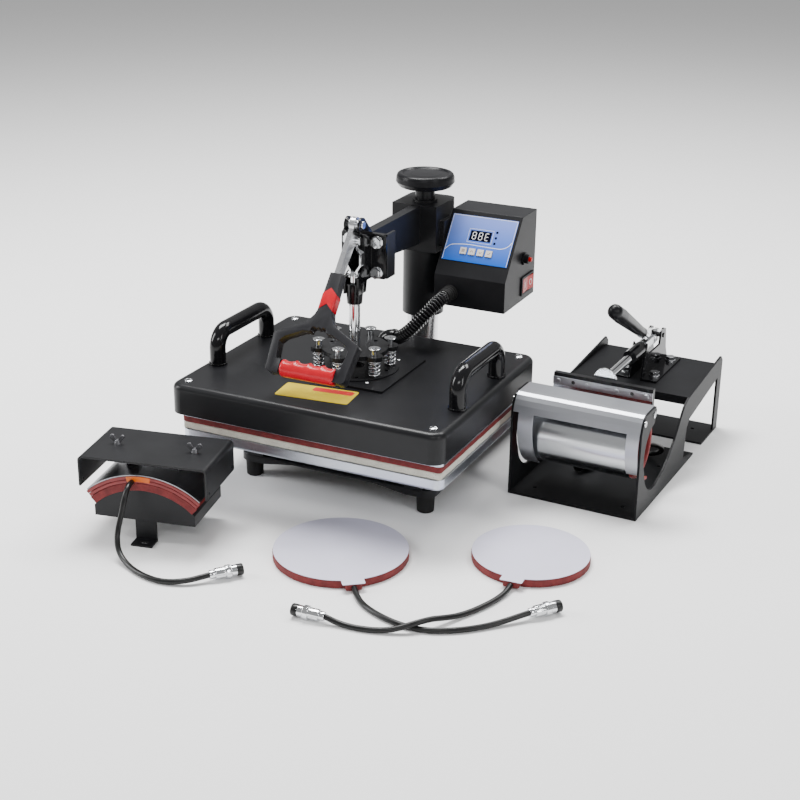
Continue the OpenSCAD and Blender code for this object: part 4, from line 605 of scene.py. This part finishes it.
plate_heater("large_disc", "large_plate_heater", (90, -222), 85.0, -53)
plate_heater("small_disc", "small_plate_heater", (304, -124), 74.0, -86)

# ---- Springs and hose ---------------------------------------------------------------------

SEAT_TOP, PRESSURE_Z = 162.8, 184.8
SPRING_TURNS, COIL_R, WIRE_R, SPRING_RING = 5, 6.9, 1.1, 48


def spring(angle):
    """Round wire on a coil; its first and last turn lie nearly flat."""
    t = np.linspace(0, SPRING_TURNS, SPRING_TURNS * 24 + 1)
    climb = np.interp(t, [0, 0.9, SPRING_TURNS - 0.9, SPRING_TURNS], [0, 0.055, 0.945, 1])
    low, high = SEAT_TOP + 1.15, PRESSURE_Z - 1.45
    turn = 2 * math.pi * t
    coil = np.stack([COIL_R * np.cos(turn), COIL_R * np.sin(turn), low + (high - low) * climb], -1)
    middle = turned((SPRING_RING, 0, 0), angle, (PRESS_X, 0, 0))
    return tube(coil + middle, WIRE_R, 10)


springs = add_piece("spring_coils", [(spring(30 + 60 * i), *ENDS_CLOSED) for i in range(6)], zinc, None)
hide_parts("springs")
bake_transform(springs)

BOX_AT = np.array([34.0, 171.5, 206.5])
COVER_TOP = 158.3
HOSE_D, HOSE_RIBS, RIB_STEPS = 18.0, 23, 10
GROOVE, RIB = 2.4, 3.2
gland_mouth = BOX_AT + np.array([25.0, -24.0, 19.5])
elbow_mouth = np.array([PRESS_X - 6 + 17, 104.0, COVER_TOP + 13])


def ribbed_hose():
    """Cubic curve from the gland to the elbow; its radius falls and rises once a rib."""
    a, d = gland_mouth - [0, 3, 0], elbow_mouth + [3, 0, 0]
    b, c = gland_mouth - [0, 42, 2], elbow_mouth + [20, 0, 5]
    t = np.linspace(0, 1, HOSE_RIBS * RIB_STEPS + 1)[:, None]
    curve = (1 - t) ** 3 * a + 3 * t * (1 - t) ** 2 * b + 3 * t ** 2 * (1 - t) * c + t ** 3 * d
    path = np.concatenate([[gland_mouth], curve, [elbow_mouth]])
    wave = np.sqrt(0.5 + 0.5 * np.cos(2 * math.pi * np.arange(len(curve)) / RIB_STEPS))
    radius = HOSE_D / 2 - GROOVE + RIB * np.concatenate([[0], wave, [0]])
    return tube(path, radius, 32)


hose = add_piece("ribbed_hose", [(ribbed_hose(), *ENDS_CLOSED)], hose_plastic, None)
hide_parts("wiring_hose")
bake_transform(hose)

# ---- Lever handle -------------------------------------------------------------------------

LEVER_ANGLE, PIVOT_Z = 39.0, 358.0
GRIP_S, GRIP_L, GRIP_R = 208.0, 77.0, 12.0


def lever_place(grid):
    """From lever coordinates (x across, t out of the handle's plane, s down the handle)."""
    a = math.radians(LEVER_ANGLE)
    x, t, s = grid[..., 0], grid[..., 1], grid[..., 2]
    back, down = t * math.cos(a) - s * math.sin(a), t * math.sin(a) + s * math.cos(a)
    return np.stack([PRESS_X + x, back, PIVOT_Z - down], -1)


def grip():
    """Tube round the bar with four finger hollows in its upper side: depth falls off as cos^2."""
    u = np.linspace(0, 1, 97)[:, None]
    a = np.linspace(0, 2 * math.pi, 48, endpoint=False)[None]
    end = np.minimum(1, np.minimum(u, 1 - u) * GRIP_L / 3)
    hollow = np.abs(np.sin(4 * math.pi * u)) ** 0.8
    side = np.clip(-np.sin(a), 0, 1) ** 1.5
    r = GRIP_R - 1.6 * (1 - end) ** 2 - 3.2 * hollow * side
    x = (u - 0.5) * GRIP_L + 2.5 + 0 * a
    return np.stack([x, r * np.cos(a), GRIP_S + r * np.sin(a)], -1)


def chevron():
    """Band round the stem whose rims point up in the middle: s falls by 9 towards x = 0."""
    ring = rounded_rectangle(21.4, 16.4, 2.6, 1.5)
    s = np.array([125, 103.6, 103, 103, 103.6, 124.4, 125, 125])[:, None]
    scale = np.array([0.93, 0.93, 0.95, 0.98, 1, 1, 0.98, 0.93])[:, None]
    x, t = ring[None, :, 0] * scale, ring[None, :, 1] * scale
    drop = 9 * (1 - np.clip(np.abs(x) / 10.4, 0, 1))
    return np.stack([x, t, s - drop], -1)


def softened(node, name, material, body, width):
    """Copy of a hard-edged solid with its doubles merged and its edges rounded by a bevel."""
    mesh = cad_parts[node].data.copy()
    mesh.name = name
    work = bmesh.new()
    work.from_mesh(mesh)
    bmesh.ops.remove_doubles(work, verts=work.verts, dist=2e-6)
    bmesh.ops.dissolve_limit(work, angle_limit=math.radians(1.5), verts=work.verts, edges=work.edges)
    work.to_mesh(mesh)
    work.free()
    mesh.materials.clear()
    mesh.materials.append(material)
    piece = bpy.data.objects.new(name, mesh)
    bpy.context.scene.collection.objects.link(piece)
    bevel = piece.modifiers.new("edges", "BEVEL")
    bevel.width, bevel.segments, bevel.limit_method = width / 1000, 3, "ANGLE"
    bevel.angle_limit, bevel.harden_normals = math.radians(35), True
    mesh.polygons.foreach_set("use_smooth", np.ones(len(mesh.polygons), bool))
    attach(piece, body)
    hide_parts(node)


softened("lever_handle", "moulded_handle", handle_plastic, "lever", 2.2)
red_grip = add_piece("finger_grip", [(lever_place(grip()), *ENDS_CLOSED)], grip_red, "lever")
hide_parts("handle_grip")
add_piece("chevron_band", [(lever_place(chevron()), True, True, False)], grip_red, "lever")

# ---- Screws, plates and panel graphics ----------------------------------------------------


def cross_head(place, axis, radius, height):
    """Domed screw head whose middle is pressed in along a cross."""
    r = np.concatenate([np.linspace(0, 1, 22) * radius, [radius, radius * 0.99]])[:, None]
    a = np.linspace(0, 2 * math.pi, 64, endpoint=False)[None]
    x, y = r * np.cos(a), r * np.sin(a)

    def slot(p, q):
        length = np.clip((0.62 * radius - np.abs(p)) / 0.25, 0, 1)
        return length * np.clip((0.13 * radius - np.abs(q)) / 0.2 + 0.5, 0, 1)

    cross = np.maximum(slot(x, y), slot(y, x))
    z = height * np.sqrt(np.clip(1 - 0.75 * (r / radius) ** 2, 0, 1)) - 0.75 * height * cross
    z[-2:] = [[0.25 * height], [0.0]]
    return aimed(np.stack([x, y, z], -1), place, axis)


def heads(name, places, axis, radius, height, body):
    """Screw heads of one kind at several places, open below."""
    return add_piece(name, [(cross_head(p, axis, radius, height), True, False, False) for p in places],
                     chrome, body)


heads("cover_screws", [(x, y, COVER_TOP - 0.1) for x in (-177, 177) for y in (-143, 143)], (0, 0, 1), 5.5, 2.6,
      "platen")
heads("carrier_screws", [(PRESS_X + x, y, 161.2) for x in (-43, 43) for y in (-48, 48)], (0, 0, 1), 2.4, 1.2,
      "platen")
for side_name, side_x, side_way in (("mug_left_screws", -0.1, -1), ("mug_right_screws", 182.1, 1)):
    heads(side_name, mug_place([(side_x, y, 134) for y in (10, 46)]), mug_direction((side_way, 0, 0)), 4.2, 2.0,
          "base")

SLANT_FOOT = 44
SLANT = math.atan2(124.6 - SLANT_FOOT, 60)


def slant_place(points):
    """Panel coordinates (x across, s up the slanted face, h out of it) to the set's."""
    p = np.asarray(points, float)
    x, s, h = p[..., 0], p[..., 1], p[..., 2]
    back, up = s * math.cos(SLANT) - h * math.sin(SLANT), s * math.sin(SLANT) + h * math.cos(SLANT)
    return np.stack([x, back, SLANT_FOOT + up], -1) + BOX_AT


def ribbon(line, width, low, high):
    """Flat band of one width along a line on the panel, as a closed bar."""
    line = np.asarray(line, float)
    way = np.gradient(line, axis=0)
    side = np.stack([-way[:, 1], way[:, 0]], -1)
    side *= width / 2 / np.linalg.norm(side, axis=1, keepdims=True)
    rows = [np.concatenate([line + k * side, np.full((len(line), 1), h)], -1)
            for k, h in ((-1, low), (1, low), (1, high), (-1, high))]
    return np.stack(rows, 1)


PANEL_S, PANEL_H, PANEL_TOP = 23.24, 70.0, 0.8


def panel_mark(name, lines, width, rise):
    """White print along lines on the panel, which stands rise above it."""
    bars = [slant_place(ribbon(line, width, PANEL_TOP - 0.1, PANEL_TOP + rise)) for line in lines]
    return add_piece(name, [(bar, *ENDS_CLOSED) for bar in bars], mark_white, "arm", flat=True)


WINDOW = (36.8, 56.04, 32.2, 15.7)


def panel_finish():
    """Blue overlay that pales from the bottom to the top, with a dark window and lamps."""
    up, out = (0, math.cos(SLANT), math.sin(SLANT)), (0, -math.sin(SLANT), math.cos(SLANT))
    foot = tuple(metres(slant_place([0, PANEL_S, 0])))

    def window(tree, place):
        x, s = along(tree, place, (1, 0, 0), foot), along(tree, place, up, foot)
        x0, s0, w, h = WINDOW
        glass = arithmetic(tree, "MULTIPLY", within(tree, x, x0 / 1000, (x0 + w) / 1000),
                           within(tree, s, (s0 - PANEL_S) / 1000, (s0 - PANEL_S + h) / 1000))
        lamps = arithmetic(tree, "MULTIPLY", within(tree, x, (x0 + w + 5) / 1000, (x0 + w + 9) / 1000),
                           within(tree, along(tree, place, out, foot), 0.00081, 1))
        return arithmetic(tree, "MAXIMUM", glass, lamps)

    material = finish("panel_blue", (0.10, 0.27, 0.66), (0.12, 0.30, 0.70), 0.22, blotch=20, bump=0.03,
                      shine=0.15, zones=[(window, (0.002, 0.003, 0.012), 0.0, 0.12)])
    tree = material.node_tree
    place = tree.nodes["Texture Coordinate"].outputs["Object"]
    height = shade(tree, "MapRange", Value=along(tree, place, up, foot), From_Max=PANEL_H / 1000).outputs[0]
    first = [n for n in tree.nodes if n.bl_idname == "ShaderNodeMix"][0]
    first.inputs[6].default_value = (0.012, 0.115, 0.56, 1)
    first.inputs[7].default_value = (0.21, 0.29, 0.70, 1)
    tree.links.new(height, first.inputs[0])
    return material


dress(panel_finish(), "control_panel")

curve_line = spline([(4.6, 37.4), (10.6, 44.8), (18.5, 47.6), (38, 49.6), (57, 49.2), (75.9, 48.9), (88, 49.3),
                     (97, 54), (101.5, 61)], 8)
panel_mark("panel_curve", [curve_line], 0.9, 0.08)
edge_line = np.array([[5.0, PANEL_S + 1], [5.0, PANEL_S + 69], [102.0, PANEL_S + 69], [102.0, PANEL_S + 1]])
panel_mark("panel_edge_lines", [edge_line[i:i + 2] for i in range(3)], 0.6, 0.08)
SEGMENTS = {"a": ((0, 2), (1, 2)), "b": ((1, 1), (1, 2)), "c": ((1, 0), (1, 1)), "d": ((0, 0), (1, 0)),
            "e": ((0, 0), (0, 1)), "f": ((0, 1), (0, 2)), "g": ((0, 1), (1, 1))}
digits = []
for column, lit in enumerate(("abcdefg", "abcdefg", "adefg")):
    for key in lit:
        ends = np.array(SEGMENTS[key], float) * [5.0, 5.2]
        ends += 0.1 * (ends[::-1] - ends)
        digits.append(ends + [40.9 + 9.6 * column, 58.7])
panel_mark("display_digits", digits, 1.0, 0.06)
window_line = np.array([[34.5, 53.5], [71, 53.5], [71, 74], [34.5, 74], [34.5, 53.5]])
panel_mark("display_frame", [window_line[i:i + 2] for i in range(4)], 0.4, 0.1)
for i in range(4):
    mid = np.array([33.5 + 12.9 * i, PANEL_S + 16])
    marks = [
        [[[-2.2, -1.4], [2.2, -1.4]], [[-2.2, 0.2], [2.2, 0.2]], [[-2.2, 1.8], [2.2, 1.8]]],
        [[[-2, -1], [0, 1.6], [2, -1]]], [[[-2, 1], [0, -1.6], [2, 1]]],
        [[[-2, 0], [-0.5, -1.6], [2.2, 1.8]]]][i]
    parts = [(slant_place(ribbon(mid + np.array(m, float), 0.8, 2.15, 2.28)), *ENDS_CLOSED) for m in marks]
    add_piece("key_mark_%d" % (i + 1), parts, mark_dark, "key_%d" % (i + 1), flat=True)

# Rocker marks: a bar and a ring
ROCKER_AT, ROCKER_HALF = BOX_AT + np.array([107.0, 85.0, 22.0]), 18
ring_t = np.linspace(0, 2 * math.pi, 33)


def rocker_mark(line):
    """Ribbon on the rocker's outer face: (along Y, along Z) at a height of the face above it."""
    band = ribbon(line, 0.9, 0, 0.12)
    y, z, h = band[..., 0], band[..., 1], band[..., 2]
    face = np.where(y < 0, 1.4 - 0.8 * y / ROCKER_HALF, 1.4 + 2.6 * y / ROCKER_HALF)
    grid = np.stack([face + h - 0.02, y, z], -1) + ROCKER_AT
    return (grid, *ENDS_CLOSED)


add_piece("rocker_marks", [rocker_mark([[-9.5, -4], [-9.5, 4]]),
                           rocker_mark(np.stack([9.5 + 3.4 * np.cos(ring_t), 4 * np.sin(ring_t)], -1))],
          mark_white, "rocker_switch", flat=True)


def cover_plate(name, width, height, offset, thick, material):
    """Thin plate with round corners that lies on the cover, a little askew."""
    grid = slab(rounded_rectangle(width, height, min(4, height / 3), 6), 0, thick, 0.1)
    grid = turned(grid + np.array([*offset, 0]), 6, (-5.5, -106, COVER_TOP - 0.05))
    return add_piece(name, [(grid, *ENDS_CLOSED)], material, "platen")


cover_plate("plain_plate", 101, 46, (0, 0), 0.5, plate_yellow)
cover_plate("plain_bar", 56, 13, (18, 13), 0.62, plate_red)

# ---- Floor and light ----------------------------------------------------------------------


FLOOR_HALF = 30.0
LIGHTS = (
    ("top_light", (-0.6, 0.5, 2.4), (1.5, 0.8), 118, (0, 0, 0.1)),
    ("left_light", (-2.4, -1.0, 1.2), (0.6, 1.4), 50, (0, 0, 0.1)),
    ("right_light", (2.3, -0.9, 1.3), (0.5, 1.3), 17, (0.1, 0, 0.1)),
    ("back_light", (0.6, 1.7, 2.4), (1.6, 0.7), 50, (0, 0, 0.1)),
    ("front_light", (0.9, -2.4, 1.9), (1.4, 0.4), 18, (0, 0, 0.1)))


def studio():
    """Pale floor, soft top and side lights and an even pale surrounding."""
    mesh = bpy.data.meshes.new("floor")
    corners = [(x * FLOOR_HALF, y * FLOOR_HALF, 0) for x, y in ((-1, -1), (1, -1), (1, 1), (-1, 1))]
    mesh.from_pydata(corners, [], [(0, 1, 2, 3)])
    floor = bpy.data.objects.new("floor", mesh)
    bpy.context.scene.collection.objects.link(floor)
    material = bpy.data.materials.new("floor_white")
    material.use_nodes = True
    surface = material.node_tree.nodes["Principled BSDF"]
    surface.inputs["Base Color"].default_value = (0.92, 0.92, 0.92, 1)
    surface.inputs["Roughness"].default_value = 0.9
    mesh.materials.append(material)
    for name, place, size, power, aim in LIGHTS:
        data = bpy.data.lights.new(name, "AREA")
        data.shape, data.size, data.size_y, data.energy = "RECTANGLE", size[0], size[1], power
        light = bpy.data.objects.new(name, data)
        light.location = place
        light.rotation_euler = (Vector(aim) - Vector(place)).to_track_quat("-Z", "Y").to_euler()
        bpy.context.scene.collection.objects.link(light)
    world = bpy.context.scene.world or bpy.data.worlds.new("world")
    bpy.context.scene.world = world
    world.use_nodes = True
    background = world.node_tree.nodes["Background"]
    background.inputs["Color"].default_value = (1, 1, 1, 1)
    background.inputs["Strength"].default_value = 0.42


studio()
